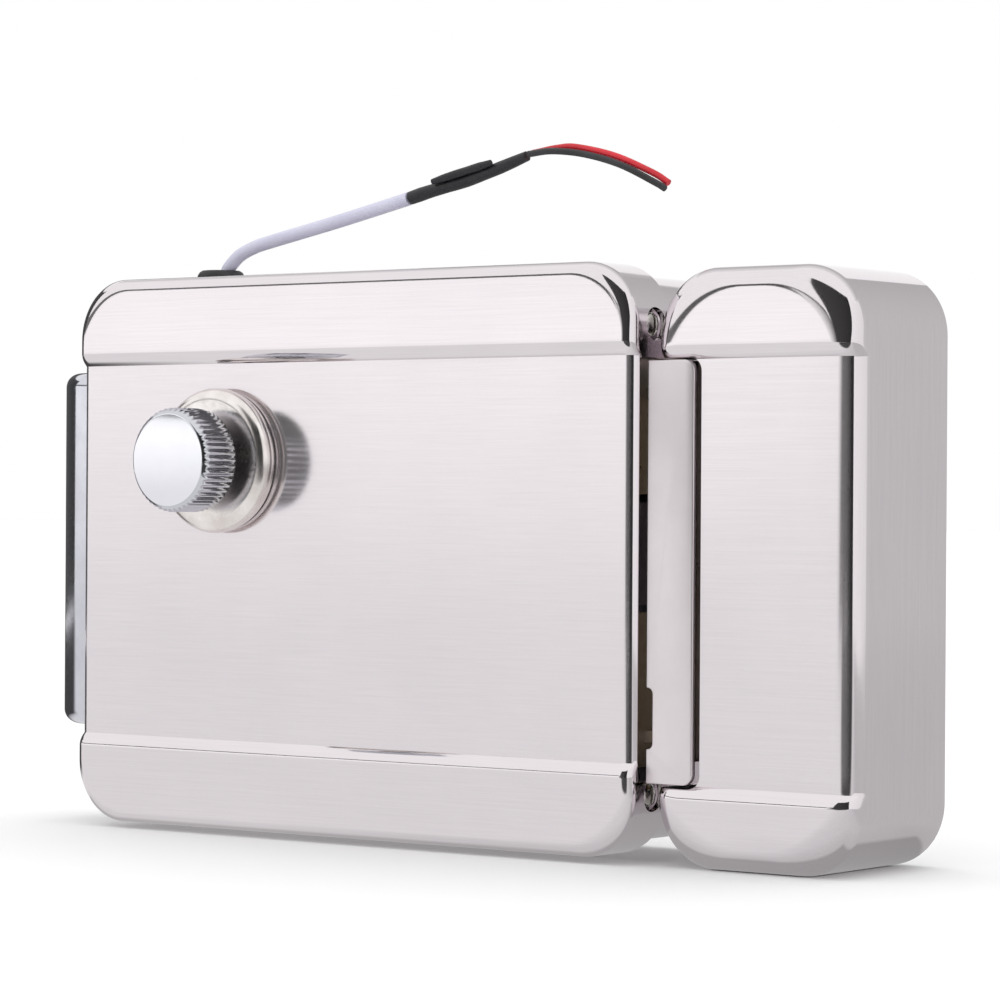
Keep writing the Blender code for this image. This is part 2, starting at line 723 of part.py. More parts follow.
# ---------------------------------------------------------------- button
def make_knob():
    """Knurled knob with a bevelled face and a blind hole for the stem."""
    bm = bmesh.new()
    count = KNOB_RIDGES * 2
    groove = 0.45
    levels = [
        (KNOB_REAR_Y, -0.6, 0.0),
        (KNOB_REAR_Y - 0.6, 0.0, 1.0),
        (KNOB_FACE_Y + 1.1, 0.0, 1.0),
        (KNOB_FACE_Y + 0.7, -0.35, 0.3),
        (KNOB_FACE_Y, -1.05, 0.0),
    ]
    rings = []
    for y, grow, knurl in levels:
        ring = []
        for i in range(count):
            angle = 2 * math.pi * i / count
            radius = KNOB_R + grow - (groove * knurl if i % 2 else 0.0)
            x = KNOB_X + radius * math.cos(angle)
            z = KNOB_Z + radius * math.sin(angle)
            ring.append(bm.verts.new((x, y, z)))
        rings.append(ring)
    for first, second in zip(rings, rings[1:]):
        bridge(bm, first, second)
    bm.faces.new(rings[0])
    bm.faces.new(rings[-1])
    knob = object_from("knob", bm)
    cut(knob, rod("cutter", "Y", (KNOB_X, 0, KNOB_Z), STEM_R + GAP, -47.2, -38))
    set_origin(knob, (KNOB_X, KNOB_REAR_Y, KNOB_Z))
    return finish(knob, CHROME)


def make_button():
    """Knob, stem with its cone, clip, spring, collar with its sleeve, ring and nut."""
    centre = (KNOB_X, 0, KNOB_Z)
    make_knob()
    stem_outline = [
        (-46.9, 0),
        (-46.9, STEM_R),
        (STEM_TIP_Y - STEM_R, STEM_R),
        (STEM_TIP_Y - 0.2, 0.2),
        (STEM_TIP_Y - 0.2, 0),
    ]
    stem = lathe("button_stem", "Y", centre, stem_outline)
    set_origin(stem, (KNOB_X, KNOB_REAR_Y, KNOB_Z))
    finish(stem, STEEL)
    clip = tube("stem_clip", "Y", centre, 5.6, STEM_R + GAP, -31.7, -30.9)
    set_origin(clip, (KNOB_X, KNOB_REAR_Y, KNOB_Z))
    finish(clip, STEEL)
    coil("button_spring", "Y", centre, 4.4, 0.4, -30.5, -24.9, 3.5, STEEL)

    collar_outline = [
        (-39.3, STEM_R + 0.6),
        (-39.8, 4.2),
        (-39.8, 11.4),
        (-39.5, 12.6),
        (-38.9, 13.4),
        (-38.2, 13.7),
        (-37.4, 13.7),
        (-37.4, 8.0),
        (-32.0, 8.0),
        (-32.0, STEM_R + 0.6),
    ]
    finish(lathe("button_collar", "Y", centre, collar_outline, 48), NICKEL)
    ring_outline = [(-37.1, 8.4), (-37.1, 13.0), (-36.8, 13.3), (-35.9, 13.3), (-35.9, 8.4)]
    finish(lathe("collar_ring", "Y", centre, ring_outline, 48), NICKEL)
    nut = lathe("collar_nut", "Y", centre, [(-34.0, 0), (-34.0, 11.5), (-32.2, 11.5), (-32.2, 0)], 6)
    cut(nut, rod("cutter", "Y", centre, 8.3, -40, -30))
    finish(nut, STEEL)


def make_guide(name, x, hole):
    """U-shaped strap on the case floor. The slide runs behind its bridge."""
    low = SLIDE_BOTTOM_Z - GAP - 1.5
    high = SLIDE_TOP_Z + GAP + 1.5
    strap = box(name, x, (-24.5, -23.0), (low, high))
    for z in ((low, low + 1.5), (high - 1.5, high)):
        join(strap, box("leg", x, (-23.6, -CASE_FLOOR - GAP), z))
    if hole:
        cut(strap, rod("cutter", "Y", (KNOB_X, 0, KNOB_Z), STEM_R + GAP, -30, -20))
    return finish(strap, YELLOW_ZINC)


def make_cam():
    """Hub for the outside key's tailpiece, with a finger that reaches the slide's lug."""
    centre = (CAM_X, 0, CAM_Z)
    outline = [(-9.0, 0), (-9.0, 7.4), (-2.4, 7.4), (-2.4, 5.0), (-0.3, 5.0), (-0.3, 0)]
    hub = lathe("cam_hub", "Y", centre, outline)
    arm = box("arm", (-2.2, 2.2), (-9.0, -6.0), (CAM_Z + 4, CAM_Z + 10.8))
    finger = rod("finger", "Y", (CAM_X, 0, CAM_Z + 9.4), 1.4, -20.6, -6.5, 20)
    join(hub, arm, finger)
    cut(hub, box("cutter", (-3.0, 3.0), (-7.0, 4), (CAM_Z - 0.8, CAM_Z + 0.8)))
    set_origin(hub, (CAM_X, 0, CAM_Z))
    finish(hub, BRASS)
    yoke = box("cam_yoke", (-13.0, 13.0), (-11.0, -9.4), (CAM_Z - 4.2, CAM_Z + 1.2))
    for x in ((-13.0, -11.4), (11.4, 13.0)):
        join(yoke, box("leg", x, (-9.8, -CASE_FLOOR - GAP), (CAM_Z - 4.2, CAM_Z + 1.2)))
    finish(yoke, YELLOW_ZINC)


# ---------------------------------------------------------------- wiring
def make_terminals():
    block = box("terminal_block", (-58.0, -43.0), (-11.4, -2.4), (27.0, 37.0))
    for x in (-54.4, -46.6):
        cut(block, rod("cutter", "Y", (x, 0, 32.0), 1.9, -14, -8.6))
    cut(block, rod("cutter", "Z", (GROMMET_X, -7.0, 0), 0.9, 35.2, 40))
    finish(block, BLACK_PLASTIC)
    for number, x in enumerate((-54.4, -46.6), 1):
        screw = rod(f"terminal_screw_{number}", "Y", (x, 0, 32.0), 1.6, -10.9, -8.9, 20)
        cut(screw, box("cutter", (x - 2, x + 2), (-12, -10.4), (31.7, 32.3)))
        finish(screw, BRASS)


def make_grommet():
    outline = [
        (47.4, CABLE_R + GAP),
        (47.4, 4.2),
        (49.0, 4.2),
        (49.0, 3.3),
        (50.8, 3.3),
        (50.8, 4.85),
        (54.2, 4.7),
        (55.2, 3.8),
        (55.2, 3.2),
        (51.6, CABLE_R + GAP),
    ]
    centre = (GROMMET_X, CABLE_Y, 0)
    return finish(lathe("cable_grommet", "Z", centre, outline), BLACK_RUBBER)


def spline_points(route, spacing):
    """Evenly spaced points of the smooth curve through a route's own points."""
    fine = []
    ends = [2 * Vector(route[0]) - Vector(route[1])]
    ends += [Vector(p) for p in route]
    ends.append(2 * Vector(route[-1]) - Vector(route[-2]))
    for before, start, end, after in zip(ends, ends[1:], ends[2:], ends[3:]):
        for step in range(24):
            t = step / 24
            fine.append(
                0.5
                * (
                    2 * start
                    + (end - before) * t
                    + (2 * before - 5 * start + 4 * end - after) * t**2
                    + (3 * start - 3 * end + after - before) * t**3
                )
            )
    fine.append(ends[-2])
    lengths = [0.0]
    for first, second in zip(fine, fine[1:]):
        lengths.append(lengths[-1] + (second - first).length)
    count = max(int(round(lengths[-1] / spacing)), 2)
    points = []
    for i in range(count + 1):
        wanted = lengths[-1] * i / count
        k = next(j for j in range(1, len(lengths)) if lengths[j] >= wanted - 1e-9)
        span = lengths[k] - lengths[k - 1]
        share = (wanted - lengths[k - 1]) / span if span else 0.0
        points.append(fine[k - 1].lerp(fine[k], share))
    return points


def cord(name, route, radii, spacing, look):
    """A solid cord along a route. The radii are read evenly from its start to its end."""
    points = spline_points(route, spacing)
    curve = bpy.data.curves.new(name, "CURVE")
    curve.dimensions = "3D"
    curve.bevel_depth = mm(1.0)
    curve.bevel_resolution = 2
    curve.use_fill_caps = True
    spline = curve.splines.new("POLY")
    spline.points.add(len(points) - 1)
    for i, point in enumerate(points):
        place = i / (len(points) - 1) * (len(radii) - 1)
        k = min(int(place), len(radii) - 2)
        spline.points[i].co = (*mm(*point), 1.0)
        spline.points[i].radius = radii[k] + (radii[k + 1] - radii[k]) * (place - k)
    obj = bpy.data.objects.new(name, curve)
    LOCK.objects.link(obj)
    material_host = bpy.data.materials.new(name)
    material_host.use_nodes = True
    shader = material_host.node_tree.nodes["Principled BSDF"]
    shader.inputs["Base Color"].default_value = (*look[0], 1.0)
    shader.inputs["Roughness"].default_value = look[1]
    curve.materials.append(material_host)
    return obj


# The cable leaves the grommet upwards, bends over to the right and ends in two bare-ended wires.
JACKET_ROUTE = [
    (GROMMET_X, -7.2, 37.5),
    (GROMMET_X, -9.2, 41.5),
    (GROMMET_X, CABLE_Y, 47.0),
    (GROMMET_X, CABLE_Y, 51.0),
    (-48.4, CABLE_Y, 54.9),
    (-46.8, CABLE_Y, 56.7),
    (-44.6, CABLE_Y, 58.3),
    (-41.4, CABLE_Y, 59.5),
    (-37.6, CABLE_Y, 60.4),
    (-19.6, CABLE_Y, 63.9),
    (-2.5, CABLE_Y, 67.5),
]
MAIN_SLEEVE_ROUTE = [
    (-2.1, CABLE_Y, 67.6),
    (2.8, CABLE_Y, 68.7),
    (11.3, CABLE_Y, 70.3),
    (18.9, CABLE_Y, 72.3),
    (25.3, CABLE_Y, 74.2),
]
SHORT_SLEEVE_ROUTE = [
    (4.1, CABLE_Y - 1.4, 70.3),
    (10.8, CABLE_Y - 1.4, 71.7),
    (17.9, CABLE_Y - 1.4, 73.2),
]
BLACK_WIRE_ROUTE = [
    (25.9, CABLE_Y - 0.4, 74.5),
    (31.2, CABLE_Y - 0.3, 74.8),
    (38.3, CABLE_Y, 73.9),
    (46.4, CABLE_Y, 71.6),
    (54.0, CABLE_Y, 68.1),
    (56.4, CABLE_Y, 66.8),
]
RED_WIRE_ROUTE = [
    (25.9, CABLE_Y + 1.0, 74.8),
    (31.5, CABLE_Y + 1.2, 75.5),
    (35.9, CABLE_Y + 1.2, 75.4),
    (44.4, CABLE_Y + 1.2, 73.4),
    (52.9, CABLE_Y + 1.2, 69.9),
    (56.4, CABLE_Y + 1.2, 67.9),
]
WIRE_R = 0.62


def make_wiring():
    make_terminals()
    make_grommet()
    cord("cable_jacket", JACKET_ROUTE, (CABLE_R, CABLE_R), 3.0, WHITE_PLASTIC)
    cord("heat_shrink_main", MAIN_SLEEVE_ROUTE, (1.3, 1.22, 1.18, 1.12, 0.95), 3.0, BLACK_RUBBER)
    cord("heat_shrink_short", SHORT_SLEEVE_ROUTE, (0.55, 0.78, 0.78, 0.6), 2.4, BLACK_RUBBER)
    cord("black_wire", BLACK_WIRE_ROUTE, (WIRE_R, WIRE_R), 2.2, BLACK_RUBBER)
    cord("red_wire", RED_WIRE_ROUTE, (WIRE_R, WIRE_R), 2.2, RED_PLASTIC)


# ---------------------------------------------------------------- fasteners and pillars
def screw_head(name, axis, centre, start, end, radius, shank_end, shank_radius, look):
    """Pan-head screw with a straight slot."""
    direction = 1 if shank_end > end else -1
    outline = [
        (start, 0),
        (start, radius - 0.4),
        (start + direction * 0.4, radius),
        (end, radius),
        (end, shank_radius),
        (shank_end, shank_radius),
        (shank_end, 0),
    ]
    screw = lathe(name, axis, centre, outline, 20)
    depth = start + direction * 0.6
    if axis == "X":
        y, z = centre[1], centre[2]
        slot = box("cutter", (start - direction, depth), (y - 0.35, y + 0.35), (z - 4, z + 4))
    else:
        x, z = centre[0], centre[2]
        slot = box("cutter", (x - 4, x + 4), (start - direction, depth), (z - 0.35, z + 0.35))
    return finish(cut(screw, slot), look)


def make_pillars():
    """Pillars behind the front cover, each held from the back by a screw through the case."""
    number = 0
    for x in (-54.0, 54.0):
        for z in (43.0, -43.0):
            number += 1
            centre = (x, 0, z)
            outline = [(-35.3, 0), (-35.3, 2.8), (-2.4, 2.8), (-2.4, 1.6), (-14.0, 1.6), (-14.0, 0)]
            finish(lathe(f"case_pillar_{number}", "Y", centre, outline, 20), STEEL)
            head = [(-0.05, 0), (-0.05, 2.5), (-1.3, 1.25), (-12.0, 1.25), (-12.0, 0)]
            screw = lathe(f"case_screw_{number}", "Y", centre, head, 20)
            cut(screw, box("cutter", (x - 4, x + 4), (-0.55, 1), (z - 0.3, z + 0.3)))
            finish(screw, STEEL)


def make_bracket_screws():
    for name, z in (("bracket_screw_upper", 41.4), ("bracket_screw_lower", -41.4)):
        screw_head(name, "X", (0, -29.3, z), 65.6, 64.3, 2.2, 58.4, 1.2, STEEL)


# ---------------------------------------------------------------- keeper
def make_keeper():
    width = KEEPER_RIGHT_X - KEEPER_LEFT_X
    middle = ((KEEPER_RIGHT_X + KEEPER_LEFT_X) / 2, KEEPER_MID_Z)
    cover = pressed_shell(
        "keeper_cover",
        (width, KEEPER_H),
        middle,
        (KEEPER_CORNER_R, KEEPER_FACE_CORNER_R),
        KEEPER_FILLET,
        KEEPER_REAR_Y,
        KEEPER_FRONT_Y,
        SHEET,
        SHEET,
        (KEEPER_RECESS_TOP_Z, KEEPER_RECESS_BOTTOM_Z, KEEPER_RECESS_DEPTH),
    )
    mouth = rounded_box(
        "cutter", (60, MOUTH_RIGHT_X), (-40, -8.0), (MOUTH_BOTTOM_Z, MOUTH_TOP_Z), 2.4, "Y"
    )
    finish(cut(cover, mouth), NICKEL)

    base = rounded_box(
        "keeper_base",
        (KEEPER_LEFT_X + 1.8, KEEPER_RIGHT_X - 1.8),
        (-2.5, 0.0),
        (KEEPER_MID_Z - KEEPER_H / 2 + 1.8, KEEPER_MID_Z + KEEPER_H / 2 - 1.8),
        9.0,
        "Y",
    )
    for number, z in enumerate((42.2, -45.4), 1):
        centre = (93.0, 0, z)
        cut(base, rod("cutter", "Y", centre, 1.6, -6, 4))
        cut(base, lathe("cutter", "Y", centre, [(-1.4, 0), (-1.4, 1.6), (0.3, 3.3), (0.3, 0)], 24))
        outline = [(-32.1, 0), (-32.1, 2.8), (-2.9, 2.8), (-2.9, 1.6), (-14.0, 1.6), (-14.0, 0)]
        finish(lathe(f"keeper_pillar_{number}", "Y", centre, outline, 20), STEEL)
        head = [(-0.05, 0), (-0.05, 2.5), (-1.3, 1.25), (-12.0, 1.25), (-12.0, 0)]
        screw = lathe(f"keeper_screw_{number}", "Y", centre, head, 20)
        cut(screw, box("cutter", (89, 97), (-0.55, 1), (z - 0.3, z + 0.3)))
        finish(screw, STEEL)
    for z in (22.0, -24.6):
        slot = rounded_box("cutter", (96.5, 105.5), (-6, 4), (z - 2.2, z + 2.2), 2.1, "Y")
        cut(base, slot)
    finish(base, STEEL)

    strike = bent_strip(
        "keeper_strike",
        [(75.6, -28.0), (77.2, -28.0), (77.2, -4.4), (88.0, -4.4), (88.0, -2.8), (75.6, -2.8)],
        -36.0,
        31.0,
    )
    finish(strike, YELLOW_ZINC)


# ---------------------------------------------------------------- build
clear_scene()
LOCK = make_collection("electric_rim_lock")
make_front_cover()
make_rear_case()
make_end_cap()
make_tongue_bracket()
make_tongue()
make_tongue_pin()
coil("tongue_spring", "Z", (TONGUE_PIN_X, TONGUE_PIN_Y, 0), 2.1, 0.35, 20.4, 28.1, 5, STEEL)
make_catch()
make_catch_pin()
make_release_slide()
make_solenoid()
make_button()
make_guide("stem_guide", (-34.0, -25.0), True)
make_guide("slide_guide", (18.0, 24.0), False)
make_cam()
make_wiring()
make_pillars()
make_bracket_screws()
make_keeper()
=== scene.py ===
"""Looks for the electric rim lock and its keeper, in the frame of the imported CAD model.

Lengths in the shape code are millimetres and mm() turns them into metres. +X runs from the lock body
to the keeper, the front looks along -Y and +Z is up.
"""

import math

import bmesh
import bpy
from mathutils import Matrix, Vector


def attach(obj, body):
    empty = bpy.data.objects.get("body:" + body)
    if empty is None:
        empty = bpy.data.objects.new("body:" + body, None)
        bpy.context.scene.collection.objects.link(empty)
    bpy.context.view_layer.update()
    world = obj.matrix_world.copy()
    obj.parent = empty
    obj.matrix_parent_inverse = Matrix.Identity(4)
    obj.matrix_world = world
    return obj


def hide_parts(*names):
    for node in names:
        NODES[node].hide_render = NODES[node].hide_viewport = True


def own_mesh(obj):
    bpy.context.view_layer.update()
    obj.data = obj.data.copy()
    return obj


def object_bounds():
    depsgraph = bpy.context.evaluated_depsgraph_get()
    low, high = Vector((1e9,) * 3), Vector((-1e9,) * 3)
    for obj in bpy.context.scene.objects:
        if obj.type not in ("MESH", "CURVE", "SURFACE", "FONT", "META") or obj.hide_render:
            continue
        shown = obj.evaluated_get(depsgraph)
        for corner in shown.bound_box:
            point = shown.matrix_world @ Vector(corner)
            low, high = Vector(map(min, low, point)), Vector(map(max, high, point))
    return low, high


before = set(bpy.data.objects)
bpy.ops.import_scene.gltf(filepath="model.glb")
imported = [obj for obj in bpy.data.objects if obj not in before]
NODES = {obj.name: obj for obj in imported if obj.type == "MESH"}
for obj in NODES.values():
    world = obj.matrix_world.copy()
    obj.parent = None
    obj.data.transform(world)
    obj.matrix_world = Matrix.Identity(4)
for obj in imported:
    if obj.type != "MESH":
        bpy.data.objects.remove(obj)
cad_box = [list(corner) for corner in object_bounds()]

# ---------------------------------------------------------------- camera
CAMERA_PLACE = (0.4427, -0.5747, 0.0108)
CAMERA_YAW = 36.997  # degrees, turned to the left of looking straight at the front
CAMERA_PITCH = -0.043
CAMERA_ROLL = 0.352
CAMERA_LENS = 135.6  # millimetres on a 36 mm sensor

# ---------------------------------------------------------------- sizes repeated from the CAD, millimetres
COVER_SIZE = (132.0, 105.0)
COVER_FRONT_Y = -37.0
COVER_REAR_Y = -25.0
COVER_CORNERS = (11.0, 11.5)  # radius of the outline at the side wall and at the rim of the face
COVER_FILLET = 2.2
SHEET = 1.2
RECESS_TOP_Z = 35.8
RECESS_BOTTOM_Z = -35.6
RECESS_DEPTH = 1.4
STEP_RISE = 2.5
CASE_SIZE = (128.0, 101.0)
CASE_FRONT_Y = -31.0
CASE_CORNERS = (8.0, 6.5)
CASE_FILLET = 1.5
CASE_FLOOR = 2.0
CASE_SCREW_X = 54.0
CASE_SCREW_Z = 43.0
MOUNT_SLOT_X = 42.0
MOUNT_SLOT_Z = 38.0
SIDE_SCREW_Y = -29.3
SIDE_SCREW_Z = 41.4
SIDE_SCREW_HOLE_R = 3.0
SIDE_SCREW_THREAD_R = 1.5
KNOB_X = -29.4
KNOB_Z = 17.4
KNOB_R = 9.75
KNOB_RIDGES = 50
KNOB_GROOVE = 0.45
KNOB_FACE_Y = -51.2
KNOB_REAR_Y = -42.3
COLLAR_FRONT_Y = -39.8
COLLAR_REAR_Y = -37.4
COLLAR_FACE_R = 11.4
COLLAR_DOME = (2.0, 2.3)  # depth and width of the rounded shoulder
COLLAR_SLEEVE_R = 8.0
COLLAR_BORE_R = 3.6
PIN_X = 69.5
PIN_Y = -29.4
LEAF_FRONT_Y = -33.5
LEAF_REAR_Y = -32.3
BARREL_R = 2.4
BARREL_ENDS = (-30.1, 20.0)
PIN_HOLE_R = 1.6
LEAF_NOTCH = (-33.0, -22.4)
TAIL_TURN = 185.0  # degrees from +X, seen from above
SOLENOID_Y = -20.25
SOLENOID_Z = -14.0
KEEPER_LEFT_X = 68.4
KEEPER_RIGHT_X = 109.5
KEEPER_H = 104.5
KEEPER_MID_Z = -1.3
KEEPER_FRONT_Y = -33.7
KEEPER_REAR_Y = -3.0
KEEPER_CORNERS = (11.6, 15.0)
KEEPER_FILLET = 3.5
KEEPER_RECESS = (35.0, -39.2, 1.3)  # top, bottom and depth
CAP_LEFT_X = -81.4
CAP_TOP_Z = 34.9
CAP_BOTTOM_Z = -34.6
CAP_FRONT_Y = -31.0
CAP_REAR_Y = -3.2
CAP_FRONT_R = 12.0
CAP_REAR_R = 4.0
CAP_SOFT_R = 2.8
CAP_WALL = 1.4
CAP_STEPS = 12
CABLE_Y = -13.0
CABLE_R = 1.3
WIRE_R = 0.62
GROMMET_X = -49.9

# ---------------------------------------------------------------- fineness of the meshes
CORNER_STEPS = 20
FILLET_STEPS = 10
LEVEL_COUNT = 14
ROD_STEPS = 64
BLOCK_STEPS = 8
ROUTE_STEPS = 8
DOME_STEPS = 12
CARD_STEPS = 12
STEPS_PER_RIDGE = 8
STEPS_PER_COIL = 32

# ---------------------------------------------------------------- studio, metres
FLOOR_DROP = 0.0001
FLOOR_HALF = 6.0
GROUND_HALF = 0.9
CEILING_HEIGHT = 0.85


# ---------------------------------------------------------------- small tools
def mm(*values):
    """Millimetres to metres, as one number or as a vector."""
    scaled = [value * 0.001 for value in values]
    return scaled[0] if len(scaled) == 1 else Vector(scaled)


def make_camera():
    """The camera of the main view, turned by yaw, then pitch, then roll."""
    yaw = math.radians(CAMERA_YAW)
    pitch = math.radians(CAMERA_PITCH)
    roll = math.radians(CAMERA_ROLL)
    forward = Vector(
        (-math.sin(yaw) * math.cos(pitch), math.cos(yaw) * math.cos(pitch), math.sin(pitch))
    )
    level_right = Vector((math.cos(yaw), math.sin(yaw), 0.0))
    level_up = level_right.cross(forward)
    right = level_right * math.cos(roll) + level_up * math.sin(roll)
    up = level_up * math.cos(roll) - level_right * math.sin(roll)
    turn = Matrix((right, up, -forward)).transposed().to_4x4()
    data = bpy.data.cameras.new("camera")
    data.lens = CAMERA_LENS
    data.sensor_width = 36.0
    data.clip_start = 0.01
    data.clip_end = 20.0
    camera = bpy.data.objects.new("camera", data)
    camera.matrix_world = Matrix.Translation(CAMERA_PLACE) @ turn
    bpy.context.scene.collection.objects.link(camera)
    bpy.context.scene.camera = camera


def link(name, mesh):
    obj = bpy.data.objects.new(name, mesh)
    bpy.context.scene.collection.objects.link(obj)
    return obj


def object_from(name, bm):
    """Turn a bmesh in millimetres into an object in metres, and free the bmesh."""
    bmesh.ops.scale(bm, vec=(0.001, 0.001, 0.001), verts=bm.verts)
    bmesh.ops.recalc_face_normals(bm, faces=bm.faces)
    mesh = bpy.data.meshes.new(name)
    bm.to_mesh(mesh)
    bm.free()
    return link(name, mesh)


def bridge(bm, first, second):
    """Join two rings of the same count with four-sided faces."""
    count = len(first)
    for i in range(count):
        j = (i + 1) % count
        bm.faces.new((first[i], first[j], second[j], second[i]))


def smooth(obj, angle=35.0):
    """Shade the object smooth, and keep edges sharper than the angle crisp."""
    obj.data.shade_smooth()
    obj.data.set_sharp_from_angle(angle=math.radians(angle))
    return obj


def soften_edges(obj, width, angle, segments):
    """Round every edge sharper than the angle by a small width, in millimetres."""
    modifier = obj.modifiers.new("soft_edges", "BEVEL")
    modifier.width = mm(width)
    modifier.segments = segments
    modifier.limit_method = "ANGLE"
    modifier.angle_limit = math.radians(angle)
    return apply_modifiers(obj)


def apply_modifiers(obj):
    """Keep the shape that the modifiers give, and drop the modifiers."""
    graph = bpy.context.evaluated_depsgraph_get()
    mesh = bpy.data.meshes.new_from_object(obj.evaluated_get(graph))
    obj.modifiers.clear()
    obj.data = mesh
    mesh.name = obj.name
    return obj


def cut(target, *others):
    """Cut the other objects away from the target and remove them."""
    return combine(target, others, "DIFFERENCE")


def join(target, *others):
    """Melt the other objects into the target and remove them."""
    return combine(target, others, "UNION")


def combine(target, others, operation):
    for other in others:
        modifier = target.modifiers.new(operation, "BOOLEAN")
        modifier.operation = operation
        modifier.solver = "EXACT"
        modifier.object = other
        apply_modifiers(target)
        bpy.data.objects.remove(other, do_unlink=True)
    return target


def block(name, x, y, z, radius=0.0):
    """A box between pairs of values, with the four edges along Y rounded by the radius."""
    bm = bmesh.new()
    bmesh.ops.create_cube(bm, size=1.0)
    size = (abs(x[1] - x[0]), abs(y[1] - y[0]), abs(z[1] - z[0]))
    middle = ((x[0] + x[1]) / 2, (y[0] + y[1]) / 2, (z[0] + z[1]) / 2)
    bmesh.ops.scale(bm, vec=size, verts=bm.verts)
    bmesh.ops.translate(bm, vec=middle, verts=bm.verts)
    if radius:
        along = [edge for edge in bm.edges if abs(edge.verts[0].co.y - edge.verts[1].co.y) > 1e-6]
        bmesh.ops.bevel(bm, geom=along, offset=radius, segments=BLOCK_STEPS, affect="EDGES", profile=0.5)
    return object_from(name, bm)


AXIS_TURN = {
    "X": Matrix.Rotation(math.radians(90), 4, "Y"),
    "Y": Matrix.Rotation(math.radians(-90), 4, "X"),
    "Z": Matrix.Identity(4),
}


def lathe(name, axis, centre, profile, steps=96):
    """Turn a closed outline of (distance along the axis, radius) points into a round solid."""
    bm = bmesh.new()
    rings = []
    for along, radius in profile:
        count = steps if radius > 1e-6 else 1
        angles = [2 * math.pi * step / steps for step in range(count)]
        rings.append([bm.verts.new((radius * math.cos(a), radius * math.sin(a), along)) for a in angles])
    for first, second in zip(rings, rings[1:] + rings[:1]):
        if len(first) == 1 and len(second) == 1:
            continue
        for step in range(steps):
            corners = [first[step % len(first)], first[(step + 1) % len(first)]]
            corners += [second[(step + 1) % len(second)], second[step % len(second)]]
            bm.faces.new(list(dict.fromkeys(corners)))
    bmesh.ops.transform(bm, matrix=AXIS_TURN[axis], verts=bm.verts)
    bmesh.ops.translate(bm, vec=centre, verts=bm.verts)
    return object_from(name, bm)


def rod(name, axis, centre, radius, start, end):
    """A plain round bar between two places along the axis."""
    profile = [(start, 0.0), (start, radius), (end, radius), (end, 0.0)]
    return lathe(name, axis, centre, profile, ROD_STEPS)


# ---------------------------------------------------------------- node materials
def add(tree, kind, inputs=None, **settings):
    """Add a shader node, set its options, and link or fill its inputs."""
    made = tree.nodes.new("ShaderNode" + kind)
    for key, value in settings.items():
        setattr(made, key, value)
    for key, value in (inputs or {}).items():
        socket = made.inputs[key]
        if isinstance(value, bpy.types.NodeSocket):
            tree.links.new(value, socket)
        else:
            socket.default_value = value
    return made


def start_material(name):
    material = bpy.data.materials.new(name)
    material.use_nodes = True
    tree = material.node_tree
    return material, tree, tree.nodes["Principled BSDF"]


def connect(tree, shader, key, value):
    tree.links.new(value, shader.inputs[key])


def maths(tree, operation, first, second=0.0):
    return add(tree, "Math", {0: first, 1: second}, operation=operation).outputs[0]


def noise(tree, vector, scale, detail=3.0, roughness=0.5, stretch=(1.0, 1.0, 1.0)):
    """Noise from 0 to 1. The scale is in cycles per metre and the stretch is per axis."""
    mapped = add(tree, "Mapping", {"Vector": vector, "Scale": tuple(scale * s for s in stretch)})
    settings = {"Vector": mapped.outputs[0], "Scale": 1.0, "Detail": detail, "Roughness": roughness}
    return add(tree, "TexNoise", settings).outputs["Fac"]


def spread(tree, value, from_low, from_high, to_low, to_high):
    """Carry a value from one range to another, and hold it at the ends."""
    inputs = {0: value, 1: from_low, 2: from_high, 3: to_low, 4: to_high}
    return add(tree, "MapRange", inputs).outputs[0]


def two_colours(tree, share, first, second):
    """The first colour where the share is 0 and the second where it is 1."""
    inputs = {"Factor": share, "A": (*first, 1.0), "B": (*second, 1.0)}
    mixed = add(tree, "Mix", data_type="RGBA")
    for key, value in inputs.items():
        socket = next(s for s in mixed.inputs if s.name == key and s.enabled)
        if isinstance(value, bpy.types.NodeSocket):
            tree.links.new(value, socket)
        else:
            socket.default_value = value
    return next(s for s in mixed.outputs if s.enabled)


def bump(tree, height, depth_mm, normal=None):
    """Bump of a height from 0 to 1 that stands for a real depth."""
    inputs = {"Height": height, "Strength": 1.0, "Distance": mm(depth_mm)}
    if normal is not None:
        inputs["Normal"] = normal
    return add(tree, "Bump", inputs).outputs[0]


def object_place(tree):
    return add(tree, "TexCoord").outputs["Object"]


def facing(tree):
    """How squarely the surface faces along X, along Y and along Z, each from 0 to 1."""
    normal = add(tree, "NewGeometry").outputs["Normal"]
    parts = add(tree, "SeparateXYZ", {0: normal})
    return [maths(tree, "ABSOLUTE", parts.outputs[i]) for i in range(3)]


